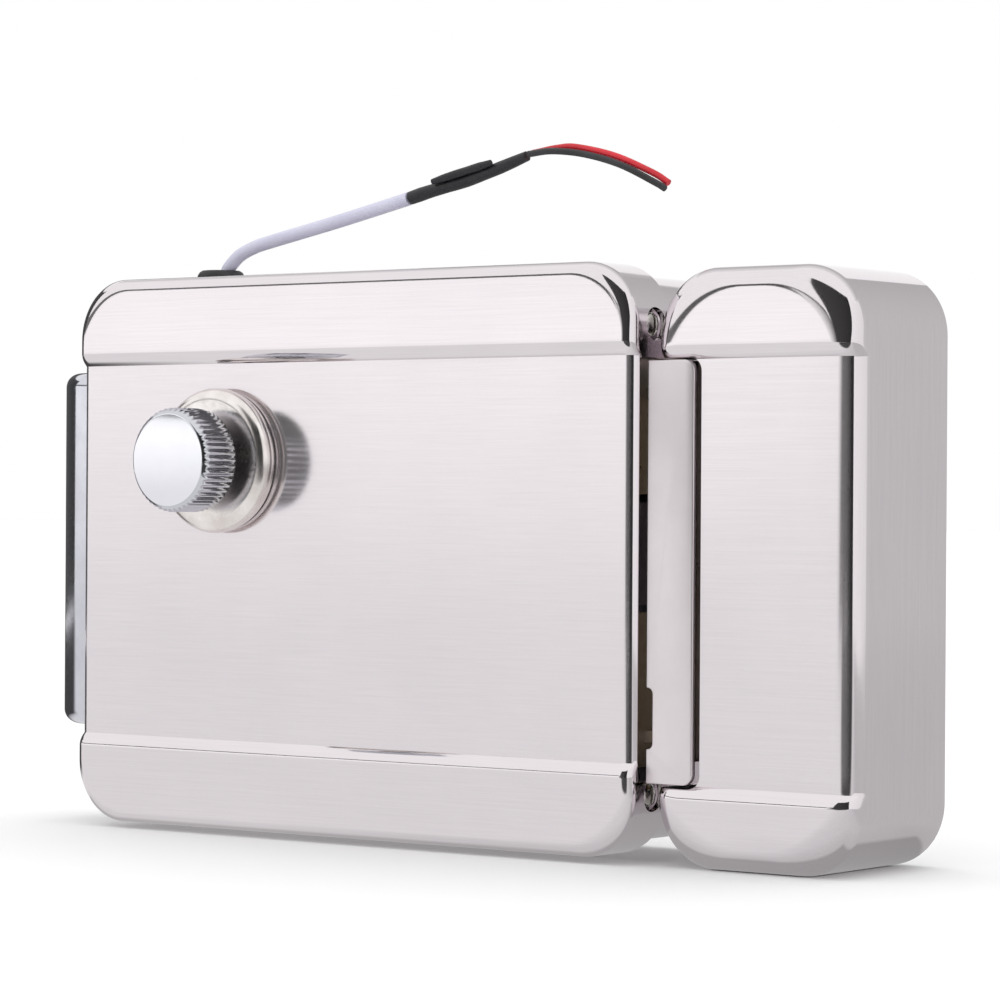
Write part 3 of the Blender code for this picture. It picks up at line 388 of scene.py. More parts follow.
def brushed_shell(name, tint, shade):
    """Nickel plate: brushed in the sunken band and on the ends, nearly polished on bands and bends.

    The brush runs along X on the front and top, and upright on the ends. The sunken band is a
    little hazy as well.
    """
    material, tree, shader = start_material(name)
    place = object_place(tree)
    face_x, face_y, face_z = facing(tree)
    flat = maths(tree, "MAXIMUM", maths(tree, "MAXIMUM", face_x, face_y), face_z)
    is_flat = spread(tree, flat, 0.86, 0.99, 0.0, 1.0)
    is_end = maths(tree, "GREATER_THAN", face_x, 0.8)
    height = add(tree, "SeparateXYZ", {0: place}).outputs[2]
    below_top = spread(tree, height, mm(RECESS_TOP_Z + 1.2), mm(RECESS_TOP_Z), 0.0, 1.0)
    above_bottom = spread(tree, height, mm(RECESS_BOTTOM_Z - 3.5), mm(RECESS_BOTTOM_Z), 0.0, 1.0)
    in_recess = maths(tree, "MULTIPLY", below_top, above_bottom)
    brushed = maths(tree, "MULTIPLY", is_flat, maths(tree, "MAXIMUM", in_recess, is_end))

    along_x = noise(tree, place, 5200.0, 4.0, 0.65, (0.012, 1.0, 1.0))
    along_z = noise(tree, place, 5200.0, 4.0, 0.65, (1.0, 1.0, 0.012))
    wide_x = noise(tree, place, 1500.0, 3.0, 0.6, (0.02, 1.0, 1.0))
    wide_z = noise(tree, place, 1500.0, 3.0, 0.6, (1.0, 1.0, 0.02))
    fine = add(tree, "Mix", {0: is_end, 2: along_x, 3: along_z}).outputs[0]
    wide = add(tree, "Mix", {0: is_end, 2: wide_x, 3: wide_z}).outputs[0]
    brush = maths(tree, "ADD", maths(tree, "MULTIPLY", fine, 0.8), maths(tree, "MULTIPLY", wide, 0.2))
    brush = maths(tree, "MULTIPLY", brush, spread(tree, brushed, 0.0, 1.0, 0.12, 1.0))

    patches = noise(tree, place, 40.0, 4.0, 0.55)
    ripple = noise(tree, place, 70.0, 2.0, 0.4)
    peel = noise(tree, place, 1500.0, 2.0, 0.5)

    tone = maths(tree, "ADD", maths(tree, "MULTIPLY", patches, 0.35), maths(tree, "MULTIPLY", fine, 0.65))
    connect(tree, shader, "Base Color", two_colours(tree, spread(tree, tone, 0.3, 0.7, 0, 1), shade, tint))
    rough = spread(tree, brushed, 0.0, 1.0, 0.07, 0.12)
    streaks = spread(tree, wide, 0.3, 0.7, 0.85, 1.15)
    connect(tree, shader, "Roughness", maths(tree, "MULTIPLY", rough, streaks))
    hazy = maths(tree, "MULTIPLY", is_flat, in_recess)
    hazy = maths(tree, "MULTIPLY", hazy, maths(tree, "SUBTRACT", 1.0, is_end))
    connect(tree, shader, "Metallic", spread(tree, hazy, 0.0, 1.0, 1.0, 0.86))
    smooth_bump = bump(tree, ripple, 0.012)
    peeled = bump(tree, peel, 0.0006, smooth_bump)
    connect(tree, shader, "Normal", bump(tree, brush, 0.0022, peeled))
    return material


def plated(name, bright, dull, roughness, grain_mm=0.004, grain_scale=1500.0, uneven=1.0):
    """Smooth plating with faint grain, small stains and uneven gloss."""
    material, tree, shader = start_material(name)
    place = object_place(tree)
    grain = noise(tree, place, grain_scale, 3.0, 0.6)
    stain = noise(tree, place, 130.0, 5.0, 0.65)
    stained = spread(tree, stain, 0.35, 0.7, 0, 1)
    connect(tree, shader, "Base Color", two_colours(tree, stained, bright, dull))
    glossy = roughness * (1 - 0.25 * uneven)
    worn = roughness * (1 + 0.5 * uneven)
    rough = spread(tree, stain, 0.3, 0.75, glossy, worn)
    connect(tree, shader, "Roughness", maths(tree, "ADD", rough, maths(tree, "MULTIPLY", grain, 0.03)))
    shader.inputs["Metallic"].default_value = 1.0
    connect(tree, shader, "Normal", bump(tree, grain, grain_mm))
    return material


def passivated(name):
    """Yellow zinc plating: gold with greenish and rosy clouds over a rolled sheet."""
    material, tree, shader = start_material(name)
    place = object_place(tree)
    cloud = noise(tree, place, 110.0, 4.0, 0.6)
    hue = noise(tree, place, 60.0, 2.0, 0.5)
    gold = two_colours(tree, spread(tree, cloud, 0.35, 0.65, 0, 1), (0.55, 0.40, 0.17), (0.66, 0.52, 0.27))
    ramp = add(tree, "ValToRGB", {0: hue})
    ramp.color_ramp.elements[0].color = (0.52, 0.46, 0.20, 1.0)
    ramp.color_ramp.elements[0].position = 0.35
    ramp.color_ramp.elements[1].color = (0.62, 0.38, 0.26, 1.0)
    ramp.color_ramp.elements[1].position = 0.68
    mixed = add(tree, "MixRGB", {0: 0.45, 1: gold, 2: ramp.outputs[0]})
    connect(tree, shader, "Base Color", mixed.outputs[0])
    grain = noise(tree, place, 1600.0, 3.0, 0.6, (1.0, 1.0, 0.08))
    connect(tree, shader, "Roughness", spread(tree, grain, 0.3, 0.7, 0.28, 0.46))
    shader.inputs["Metallic"].default_value = 1.0
    connect(tree, shader, "Normal", bump(tree, grain, 0.006))
    return material


def turned_metal(name, bright, dull, roughness, centre, axis):
    """Metal turned on a lathe, with fine rings around its axis."""
    material, tree, shader = start_material(name)
    place = object_place(tree)
    moved = add(tree, "VectorMath", {0: place, 1: mm(*centre)}, operation="SUBTRACT").outputs[0]
    parts = add(tree, "SeparateXYZ", {0: moved})
    across = [parts.outputs[i] for i in range(3) if i != "XYZ".index(axis)]
    along = parts.outputs["XYZ".index(axis)]
    squares = [maths(tree, "MULTIPLY", part, part) for part in across]
    radius = maths(tree, "SQRT", maths(tree, "ADD", squares[0], squares[1]))
    reach = add(tree, "CombineXYZ", {0: radius, 1: along}).outputs[0]
    rings = noise(tree, reach, 9000.0, 2.0, 0.6)
    stain = noise(tree, place, 160.0, 4.0, 0.6)
    stained = spread(tree, stain, 0.35, 0.7, 0, 1)
    connect(tree, shader, "Base Color", two_colours(tree, stained, bright, dull))
    rough = spread(tree, rings, 0.3, 0.7, roughness * 0.8, roughness * 1.35)
    connect(tree, shader, "Roughness", maths(tree, "ADD", rough, maths(tree, "MULTIPLY", stain, 0.02)))
    shader.inputs["Metallic"].default_value = 1.0
    connect(tree, shader, "Normal", bump(tree, rings, 0.0008))
    return material


def wound_copper(name, pitch_mm):
    """Enamelled wire laid side by side around the X axis."""
    material, tree, shader = start_material(name)
    place = object_place(tree)
    parts = add(tree, "SeparateXYZ", {0: place})
    drift = maths(tree, "MULTIPLY", noise(tree, place, 300.0, 2.0), mm(0.12))
    turns = maths(tree, "MULTIPLY", maths(tree, "ADD", parts.outputs[0], drift), 2 * math.pi / mm(pitch_mm))
    wave = maths(tree, "ABSOLUTE", maths(tree, "SINE", maths(tree, "MULTIPLY", turns, 0.5)))
    tone = noise(tree, place, 400.0, 3.0)
    connect(tree, shader, "Base Color", two_colours(tree, tone, (0.50, 0.17, 0.07), (0.72, 0.33, 0.16)))
    connect(tree, shader, "Roughness", spread(tree, tone, 0.3, 0.7, 0.22, 0.40))
    shader.inputs["Metallic"].default_value = 1.0
    shader.inputs["Coat Weight"].default_value = 0.5
    connect(tree, shader, "Normal", bump(tree, wave, 0.12))
    return material


def moulded(name, light, dark, roughness, grain_mm, grain_scale=1800.0, sheen=0.0):
    """Moulded plastic or rubber with an uneven skin and a little dust in random clouds."""
    material, tree, shader = start_material(name)
    place = object_place(tree)
    skin = noise(tree, place, grain_scale, 4.0, 0.6)
    cloud = noise(tree, place, 120.0, 4.0, 0.6)
    connect(tree, shader, "Base Color", two_colours(tree, spread(tree, cloud, 0.3, 0.7, 0, 1), dark, light))
    connect(tree, shader, "Roughness", spread(tree, skin, 0.3, 0.7, roughness * 0.85, roughness * 1.15))
    connect(tree, shader, "Normal", bump(tree, skin, grain_mm))
    shader.inputs["Sheen Weight"].default_value = sheen
    return material


def shrunk_sleeve(name):
    """Heat-shrink tube: black, slightly glossy, with wrinkles across it."""
    material, tree, shader = start_material(name)
    place = object_place(tree)
    wrinkle = noise(tree, place, 420.0, 3.0, 0.55, (1.0, 0.35, 0.35))
    skin = noise(tree, place, 2500.0, 2.0, 0.5)
    dust = noise(tree, place, 260.0, 4.0, 0.6)
    black = two_colours(tree, dust, (0.006, 0.006, 0.009), (0.024, 0.024, 0.029))
    connect(tree, shader, "Base Color", black)
    connect(tree, shader, "Roughness", spread(tree, skin, 0.3, 0.7, 0.36, 0.52))
    connect(tree, shader, "Normal", bump(tree, skin, 0.01, bump(tree, wrinkle, 0.16)))
    return material


def make_materials():
    """Every finish, by a short name. Colours are in linear light."""
    made = {}
    made["nickel"] = brushed_shell("brushed_nickel", (0.84, 0.79, 0.815), (0.77, 0.725, 0.75))
    made["tongue"] = plated("nickel_leaf", (0.86, 0.80, 0.82), (0.83, 0.77, 0.79), 0.30, 0.0003, 900.0, 0.1)
    made["cap"] = plated("cap_nickel", (0.70, 0.70, 0.76), (0.62, 0.62, 0.68), 0.09, 0.001)
    # The knurl's chrome is painted darker than the turned face's chrome: painted shade for the flutes.
    made["chrome"] = plated("knurl_chrome_painted_shade", (0.66, 0.67, 0.71), (0.60, 0.61, 0.65), 0.05, 0.0008)
    made["collar"] = plated("polished_nickel", (0.93, 0.89, 0.875), (0.76, 0.70, 0.665), 0.20, 0.004)
    made["knob_face"] = turned_metal(
        "turned_chrome", (0.90, 0.90, 0.95), (0.87, 0.87, 0.93), 0.06, (KNOB_X, 0, KNOB_Z), "Y"
    )
    made["steel"] = plated("zinc_steel", (0.66, 0.67, 0.69), (0.52, 0.53, 0.55), 0.30, 0.006)
    made["screw"] = plated("screw_steel", (0.70, 0.69, 0.66), (0.45, 0.43, 0.39), 0.22, 0.006)
    made["zinc"] = passivated("yellow_zinc")
    made["bracket"] = plated("bracket_zinc", (0.72, 0.66, 0.60), (0.60, 0.50, 0.40), 0.30, 0.004)
    made["brass"] = plated("turned_brass", (0.75, 0.58, 0.28), (0.62, 0.45, 0.20), 0.24, 0.006)
    made["copper"] = wound_copper("copper_winding", 0.42)
    made["rubber"] = moulded("black_rubber", (0.035, 0.035, 0.038), (0.016, 0.016, 0.018), 0.55, 0.02)
    made["plastic"] = moulded("black_plastic", (0.04, 0.04, 0.042), (0.022, 0.022, 0.024), 0.38, 0.012)
    made["jacket"] = moulded("white_jacket", (0.70, 0.70, 0.84), (0.61, 0.61, 0.76), 0.42, 0.012, 900.0, 0.1)
    made["black_wire"] = moulded("black_insulation", (0.03, 0.03, 0.034), (0.012, 0.012, 0.014), 0.30, 0.006)
    made["red_wire"] = moulded("red_insulation", (0.72, 0.02, 0.035), (0.52, 0.01, 0.02), 0.30, 0.006)
    made["sleeve"] = shrunk_sleeve("heat_shrink")
    return made


def dress(obj, material, body, slot, *replaced):
    """Give a new piece its material and its body, and hide the CAD nodes that it stands for. The slot is not
    used.
    """
    obj.data.materials.clear()
    obj.data.materials.append(material)
    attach(obj, body)
    if replaced:
        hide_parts(*replaced)
    return obj


# ---------------------------------------------------------------- cable
JACKET_ROUTE = [
    (GROMMET_X, CABLE_Y, 51.0),
    (-48.4, CABLE_Y, 54.9),
    (-46.8, CABLE_Y, 56.7),
    (-44.6, CABLE_Y, 58.3),
    (-41.4, CABLE_Y, 59.5),
    (-37.6, CABLE_Y, 60.4),
    (-19.6, CABLE_Y, 63.9),
    (-2.5, CABLE_Y, 67.5),
]
INNER_ROUTE = [
    (GROMMET_X, -7.2, 37.5),
    (GROMMET_X, -9.2, 41.5),
    (GROMMET_X, CABLE_Y, 47.0),
    (GROMMET_X, CABLE_Y, 51.0),
]
MAIN_SLEEVE_ROUTE = [
    (-2.1, CABLE_Y, 67.6),
    (2.8, CABLE_Y, 68.7),
    (11.3, CABLE_Y, 70.3),
    (18.9, CABLE_Y, 72.3),
    (25.3, CABLE_Y, 74.2),
]
SHORT_SLEEVE_ROUTE = [
    (4.1, CABLE_Y - 1.4, 70.3),
    (10.8, CABLE_Y - 1.4, 71.7),
    (17.9, CABLE_Y - 1.4, 73.2),
]
BLACK_WIRE_ROUTE = [
    (25.9, CABLE_Y - 0.4, 74.5),
    (31.2, CABLE_Y - 0.3, 74.8),
    (38.3, CABLE_Y, 73.9),
    (46.4, CABLE_Y, 71.6),
    (54.0, CABLE_Y, 68.1),
    (56.4, CABLE_Y, 66.8),
]
RED_WIRE_ROUTE = [
    (25.9, CABLE_Y + 1.0, 74.8),
    (31.5, CABLE_Y + 1.2, 75.5),
    (35.9, CABLE_Y + 1.2, 75.4),
    (44.4, CABLE_Y + 1.2, 73.4),
    (52.9, CABLE_Y + 1.2, 69.9),
    (56.4, CABLE_Y + 1.2, 67.9),
]


def route_points(route):
    """Points of the smooth curve through a route, in millimetres."""
    points = []
    ends = [2 * Vector(route[0]) - Vector(route[1])]
    ends += [Vector(p) for p in route]
    ends.append(2 * Vector(route[-1]) - Vector(route[-2]))
    for before, start, end, after in zip(ends, ends[1:], ends[2:], ends[3:]):
        for step in range(ROUTE_STEPS):
            t = step / ROUTE_STEPS
            swing = (end - before) * t + (2 * before - 5 * start + 4 * end - after) * t**2
            swing += (3 * start - 3 * end + after - before) * t**3
            points.append(start + 0.5 * swing)
    points.append(ends[-2])
    return points


def length_of(points):
    return sum((b - a).length for a, b in zip(points, points[1:]))


def cord_curve(name, route, radii):
    """A round cord along a route, whose radius is read evenly along it, and the cord's length."""
    points = route_points(route)
    curve = bpy.data.curves.new(name, "CURVE")
    curve.dimensions = "3D"
    curve.bevel_depth = mm(1.0)
    curve.bevel_resolution = 7
    curve.use_fill_caps = True
    spline = curve.splines.new("POLY")
    spline.points.add(len(points) - 1)
    for i, point in enumerate(points):
        place = i / (len(points) - 1) * (len(radii) - 1)
        k = min(int(place), len(radii) - 2)
        spline.points[i].co = (*mm(*point), 1.0)
        spline.points[i].radius = radii[k] + (radii[k + 1] - radii[k]) * (place - k)
    return link(name, curve), mm(length_of(points))


def make_cable(look):
    """The white cable with its two sleeves, and the two wires that leave the long sleeve."""
    inner, _ = cord_curve("cable_inner", INNER_ROUTE, (CABLE_R, CABLE_R))
    dress(inner, look["jacket"], "lock_body", "white_plastic")
    jacket, length = cord_curve("cable_jacket_soft", JACKET_ROUTE, (CABLE_R, CABLE_R))
    dress(jacket, look["jacket"], "lock_body", "white_plastic", "cable_jacket")
    main_radii = (1.28, 1.33, 1.26, 1.2, 1.24, 1.17, 1.19, 1.1, 0.95)
    sleeve, _ = cord_curve("sleeve_main", MAIN_SLEEVE_ROUTE, main_radii)
    dress(sleeve, look["sleeve"], "lock_body", "black_rubber", "heat_shrink_main")
    short, _ = cord_curve("sleeve_short", SHORT_SLEEVE_ROUTE, (0.55, 0.74, 0.80, 0.76, 0.79, 0.6))
    dress(short, look["sleeve"], "lock_body", "black_rubber", "heat_shrink_short")
    wires = (
        ("wire_black", BLACK_WIRE_ROUTE, "black_wire", "black_rubber"),
        ("wire_red", RED_WIRE_ROUTE, "red_wire", "red_plastic"),
    )
    for name, route, key, slot in wires:
        wire, length = cord_curve(name, route, (WIRE_R, WIRE_R))
        dress(wire, look[key], "lock_body", slot, key)


def make_grommet(look):
    """Rubber grommet in the top of the case: a neck through the hole and a round head."""
    hole = CABLE_R + 0.3
    outline = [(47.4, hole), (47.4, 3.9), (47.7, 4.2), (48.7, 4.2), (49.0, 3.3), (50.8, 3.3)]
    outline += [(50.8, 4.6), (51.0, 4.85), (53.6, 4.8), (54.3, 4.6), (54.9, 4.2), (55.2, 3.7)]
    outline += [(55.2, 3.3), (54.9, 3.0), (51.6, hole)]
    grommet = lathe("grommet_fine", "Z", (GROMMET_X, CABLE_Y, 0), outline)
    smooth(grommet)
    dress(grommet, look["rubber"], "lock_body", "black_rubber", "cable_grommet")


# ---------------------------------------------------------------- pressed shells
def half_outline(width, height, radius, inset, levels):
    """Right-hand half of a rounded rectangle from top to bottom, as (x, z) pairs."""
    mid_x = width / 2 - inset - radius
    mid_z = height / 2 - inset - radius
    margin = 0.6
    upper_end = max(mid_z, levels[0] + margin) if levels else mid_z
    lower_end = max(mid_z, margin - levels[-1]) if levels else mid_z
    upper = [(mid_x, mid_z + radius)]
    lower = [(mid_x, -mid_z - radius)]
    for step in range(1, CORNER_STEPS + 1):
        share = step / CORNER_STEPS
        for points, end, side in ((upper, upper_end, 1), (lower, lower_end, -1)):
            last = math.asin((end - mid_z) / radius)
            angle = math.pi / 2 + (last - math.pi / 2) * share
            points.append((mid_x + radius * math.cos(angle), side * (mid_z + radius * math.sin(angle))))
    between = []
    for level in levels:
        above = max(abs(level) - mid_z, 0.0)
        between.append((mid_x + math.sqrt(radius * radius - above * above), level))
    return upper + between + lower[::-1]


def recess_at(z, recess):
    """How far the face lies below its bands: the band rolls over and meets the recess in a crease."""
    top, bottom, depth = recess
    if depth == 0:
        return 0.0
    down = (top + STEP_RISE - z) / STEP_RISE
    up = (z - bottom + STEP_RISE) / STEP_RISE
    share = min(max(min(down, up), 0.0), 1.0)
    return depth * share * share


def step_levels(recess):
    """Heights at which the steps between band and recess are drawn, from the top down."""
    top, bottom, depth = recess
    if depth == 0:
        return []
    shares = [-0.2] + [i / LEVEL_COUNT for i in range(LEVEL_COUNT + 1)] + [1.06]
    upper = [top + STEP_RISE * (1 - share) for share in shares]
    lower = [bottom - STEP_RISE * share for share in shares]
    return upper + lower


def skin_rings(bm, size, middle, corners, fillet, open_y, closed_y, recess):
    """Rings of one skin of a shell, from its open edge to the rim of its closed face."""
    levels = [level - middle[1] for level in step_levels(recess)]
    stations = [(0.0, None), (0.0, fillet + 0.35)]
    for step in range(FILLET_STEPS + 1):
        angle = math.pi / 2 * step / FILLET_STEPS
        stations.append((fillet * (1 - math.cos(angle)), fillet * (1 - math.sin(angle))))
    stations.append((fillet + 0.35, 0.0))
    rings = []
    for inset, rise in stations:
        radius = corners[0] + (corners[1] - corners[0]) * min(inset / fillet, 1.0)
        half = half_outline(size[0], size[1], radius, inset, levels)
        full = half + [(-x, z) for x, z in reversed(half)]
        ring = []
        for x, z in full:
            world_z = z + middle[1]
            y = open_y if rise is None else closed_y + rise + recess_at(world_z, recess)
            ring.append(bm.verts.new((x + middle[0], y, world_z)))
        rings.append(ring)
    return rings


def ladder(bm, ring):
    """Close a ring with faces that run straight across from its right half to its left half."""
    count = len(ring)
    for i in range(count // 2 - 1):
        bm.faces.new((ring[i], ring[i + 1], ring[count - 2 - i], ring[count - 1 - i]))


def pressed_shell(name, size, middle, corners, fillet, open_y, closed_y, floor, recess=(0, 0, 0)):
    """A pan pressed from sheet: rounded outline, rounded front edge and an optional sunken band.

    The corners are the outline's radius at the side wall and at the rim of the flat face.
    """
    bm = bmesh.new()
    outer = skin_rings(bm, size, middle, corners, fillet, open_y, closed_y, recess)
    inner_size = (size[0] - 2 * SHEET, size[1] - 2 * SHEET)
    inner_fillet = max(fillet - SHEET, 0.4)
    inner_y = closed_y + floor
    inner_corners = (corners[0] - SHEET, corners[1])
    inner = skin_rings(bm, inner_size, middle, inner_corners, inner_fillet, open_y, inner_y, recess)
    for rings in (outer, inner):
        for first, second in zip(rings, rings[1:]):
            bridge(bm, first, second)
        ladder(bm, rings[-1])
    bridge(bm, outer[0], inner[0])
    return object_from(name, bm)


def make_front_cover(look):
    """Pressed cover with its sunken band, knob hole, end openings and screw holes."""
    recess = (RECESS_TOP_Z, RECESS_BOTTOM_Z, RECESS_DEPTH)
    cover = pressed_shell(
        "cover_skin",
        COVER_SIZE,
        (0, 0),
        COVER_CORNERS,
        COVER_FILLET,
        COVER_REAR_Y,
        COVER_FRONT_Y,
        SHEET,
        recess,
    )
    knob_hole = rod("cutter", "Y", (KNOB_X, 0, KNOB_Z), 8.3, -40, -30)
    tongue_slot = block("cutter", (60, 70), (-34.2, -20), (-39.6, 35.5))
    cap_slot = block("cutter", (-70, -60), (-31.4, -20), (-35.0, 35.3))
    cut(cover, knob_hole, tongue_slot, cap_slot)
    for z in (SIDE_SCREW_Z, -SIDE_SCREW_Z):
        cut(cover, rod("cutter", "X", (0, SIDE_SCREW_Y, z), SIDE_SCREW_HOLE_R, 60, 70))
    smooth(cover)
    dress(cover, look["nickel"], "lock_body", "nickel_shell", "front_cover")


def make_rear_case(look):
    """Case behind the cover with its screw holes, mounting slots and key hole."""
    case = mirrored_pan()
    tongue_window = block("cutter", (60, 70), (-35, -11.5), (-36.5, 35.5))
    cap_window = block("cutter", (-70, -60), (-35, -2.8), (-35.0, 35.3))
    grommet_hole = rod("cutter", "Z", (GROMMET_X, CABLE_Y, 0), 3.6, 45, 55)
    cam_hole = rod("cutter", "Y", (0, 0, KNOB_Z), 5.3, -6, 4)
    cut(case, tongue_window, cap_window, grommet_hole, cam_hole)
    for z in (SIDE_SCREW_Z, -SIDE_SCREW_Z):
        cut(case, rod("cutter", "X", (0, SIDE_SCREW_Y, z), SIDE_SCREW_THREAD_R, 60, 70))
    for x in (-CASE_SCREW_X, CASE_SCREW_X):
        for z in (-CASE_SCREW_Z, CASE_SCREW_Z):
            cut(case, rod("cutter", "Y", (x, 0, z), 1.6, -6, 4))
            cut(case, lathe("cutter", "Y", (x, 0, z), [(-1.4, 0), (-1.4, 1.6), (0.3, 3.3), (0.3, 0)]))
    for x in (-MOUNT_SLOT_X, MOUNT_SLOT_X):
        for z in (-MOUNT_SLOT_Z, MOUNT_SLOT_Z):
            cut(case, block("cutter", (x - 4.5, x + 4.5), (-6, 4), (z - 2.2, z + 2.2), 2.1))
    smooth(case)
    dress(case, look["nickel"], "lock_body", "nickel_shell", "rear_case")


def mirrored_pan():
    """The case is a pan whose closed face is its back, so it is drawn facing the other way."""
    pan = pressed_shell(
        "case_skin", CASE_SIZE, (0, 0), CASE_CORNERS, CASE_FILLET, -CASE_FRONT_Y, 0.0, CASE_FLOOR
    )
    pan.data.transform(Matrix.Scale(-1, 4, (0, 1, 0)))
    pan.data.flip_normals()
    return pan


def make_keeper(look):
    """Keeper cover with the mouth that takes the tongue."""
    size = (KEEPER_RIGHT_X - KEEPER_LEFT_X, KEEPER_H)
    middle = ((KEEPER_RIGHT_X + KEEPER_LEFT_X) / 2, KEEPER_MID_Z)
    cover = pressed_shell(
        "keeper_skin",
        size,
        middle,
        KEEPER_CORNERS,
        KEEPER_FILLET,
        KEEPER_REAR_Y,
        KEEPER_FRONT_Y,
        SHEET,
        KEEPER_RECESS,
    )
    cut(cover, block("cutter", (60, 77.7), (-40, -8.0), (-39.8, 35.3), 2.4))
    smooth(cover)
    dress(cover, look["nickel"], "keeper", "nickel_shell", "keeper_cover")


def cap_body(name, wall, right_x):
    """Upright body with two rounded corners and softened ends, drawn in from the cap by the wall."""
    soft = CAP_SOFT_R - wall
    turns = [math.pi / 2 * step / CAP_STEPS for step in range(CAP_STEPS + 1)]
    stations = []
    for turn in turns:
        stations.append((CAP_BOTTOM_Z + wall + soft * (1 - math.cos(turn)), soft * (1 - math.sin(turn))))
    for turn in reversed(turns):
        stations.append((CAP_TOP_Z - wall - soft * (1 - math.cos(turn)), soft * (1 - math.sin(turn))))
    bm = bmesh.new()
    rings = []
    for z, inset in stations:
        shrink = wall + inset
        outline = [(right_x, CAP_FRONT_Y + shrink)]
        for turn in turns:
            radius = CAP_FRONT_R - shrink
            x = CAP_LEFT_X + CAP_FRONT_R - radius * math.sin(turn)
            outline.append((x, CAP_FRONT_Y + CAP_FRONT_R - radius * math.cos(turn)))
        for turn in reversed(turns):
            radius = CAP_REAR_R - shrink
            x = CAP_LEFT_X + CAP_REAR_R - radius * math.sin(turn)
            outline.append((x, CAP_REAR_Y - CAP_REAR_R + radius * math.cos(turn)))
        outline.append((right_x, CAP_REAR_Y - shrink))
        rings.append([bm.verts.new((x, y, z)) for x, y in outline])
    for first, second in zip(rings, rings[1:]):
        bridge(bm, first, second)
    bm.faces.new(rings[0])
    bm.faces.new(rings[-1])
    return object_from(name, bm)


def make_end_cap(look):
    """Hollow cap on the left end, with a broad rounded corner towards the front and a flange inside."""
    cap = cap_body("cap_skin", 0.0, -61.8)
    join(cap, block("flange", (-62.4, -61.2), (-33.4, -2.6), (-36.6, 36.9)))
    cut(cap, cap_body("cutter", CAP_WALL, -50.0))
    smooth(cap)
    dress(cap, look["cap"], "lock_body", "chrome", "end_cap")


# ---------------------------------------------------------------- tongue
def make_tongue(look):
    """Flat leaf, barrel and tail of the swinging tongue, with softened stamped edges."""
    leaf = block("tongue_leaf_fine", (63.1, 76.8), (LEAF_FRONT_Y, LEAF_REAR_Y), (-39.1, 34.9), 2.0)
    cut(leaf, block("cutter", (50, 67.1), (-40, -25), (-50, 50)))
    cut(leaf, block("cutter", (60, 68.4), (-40, -31.9), LEAF_NOTCH, 1.0))
    soften_edges(leaf, 0.22, 60.0, 3)
    web = block("web", (PIN_X - 2.2, PIN_X + 1.8), (-32.8, PIN_Y), BARREL_ENDS)
    barrel = rod("barrel", "Z", (PIN_X, PIN_Y, 0), BARREL_R, *BARREL_ENDS)
    cut(web, block("cutter", (60, 68.4), (-40, -31.6), LEAF_NOTCH))
    tail = block("tail", (1.0, 15.7), (-0.8, 0.8), (-8.0, 10.0))
    turn = Matrix.Rotation(math.radians(TAIL_TURN), 4, "Z")
    tail.data.transform(Matrix.Translation(mm(PIN_X, PIN_Y, 0)) @ turn)
    join(leaf, web, barrel, tail)
    cut(leaf, rod("cutter", "Z", (PIN_X, PIN_Y, 0), PIN_HOLE_R, -50, 50))
    smooth(leaf)
    dress(leaf, look["tongue"], "tongue_leaf", "nickel_shell", "tongue")


# ---------------------------------------------------------------- button
def make_knob(look):
    """Knurled knob: straight flutes, a bevelled rim and a turned face."""
    bm = bmesh.new()
    count = KNOB_RIDGES * STEPS_PER_RIDGE
    # each level: its Y, how much wider than the knob it is, and its share of the groove depth
    levels = [
        (KNOB_REAR_Y, -0.9, 0.0),
        (KNOB_REAR_Y - 0.25, -0.45, 0.2),
        (KNOB_REAR_Y - 0.7, -0.05, 0.9),
        (KNOB_REAR_Y - 0.9, 0.0, 1.0),
        (KNOB_FACE_Y + 1.25, 0.0, 1.0),
        (KNOB_FACE_Y + 0.95, -0.12, 0.75),
        (KNOB_FACE_Y + 0.65, -0.42, 0.25),
        (KNOB_FACE_Y + 0.5, -0.58, 0.0),
        (KNOB_FACE_Y + 0.15, -0.95, 0.0),
        (KNOB_FACE_Y + 0.03, -1.12, 0.0),
        (KNOB_FACE_Y, -1.35, 0.0),
    ]
    rings = []
    for y, grow, knurl in levels:
        ring = []
        for i in range(count):
            angle = 2 * math.pi * i / count
            share = (i % STEPS_PER_RIDGE) / STEPS_PER_RIDGE
            hollow = 1.0 - abs(2 * share - 1.0)
            hollow = min(hollow * 1.35, 1.0) ** 1.3
            radius = KNOB_R + grow - KNOB_GROOVE * knurl * hollow
            x = KNOB_X + radius * math.cos(angle)
            z = KNOB_Z + radius * math.sin(angle)
            ring.append(bm.verts.new((x, y, z)))
        rings.append(ring)
    for first, second in zip(rings, rings[1:]):
        bridge(bm, first, second)
    bm.faces.new(rings[0])
    bm.faces.new(rings[-1])
    knob = object_from("knob_fine", bm)
    cut(knob, rod("cutter", "Y", (KNOB_X, 0, KNOB_Z), 3.3, -47.2, -38))
    smooth(knob, 28.0)
    dress(knob, look["chrome"], "knob_and_stem", "chrome", "knob")
    knob.data.materials.append(look["knob_face"])
    for polygon in knob.data.polygons:
        polygon.material_index = int(polygon.center.y < mm(KNOB_FACE_Y + 0.02))


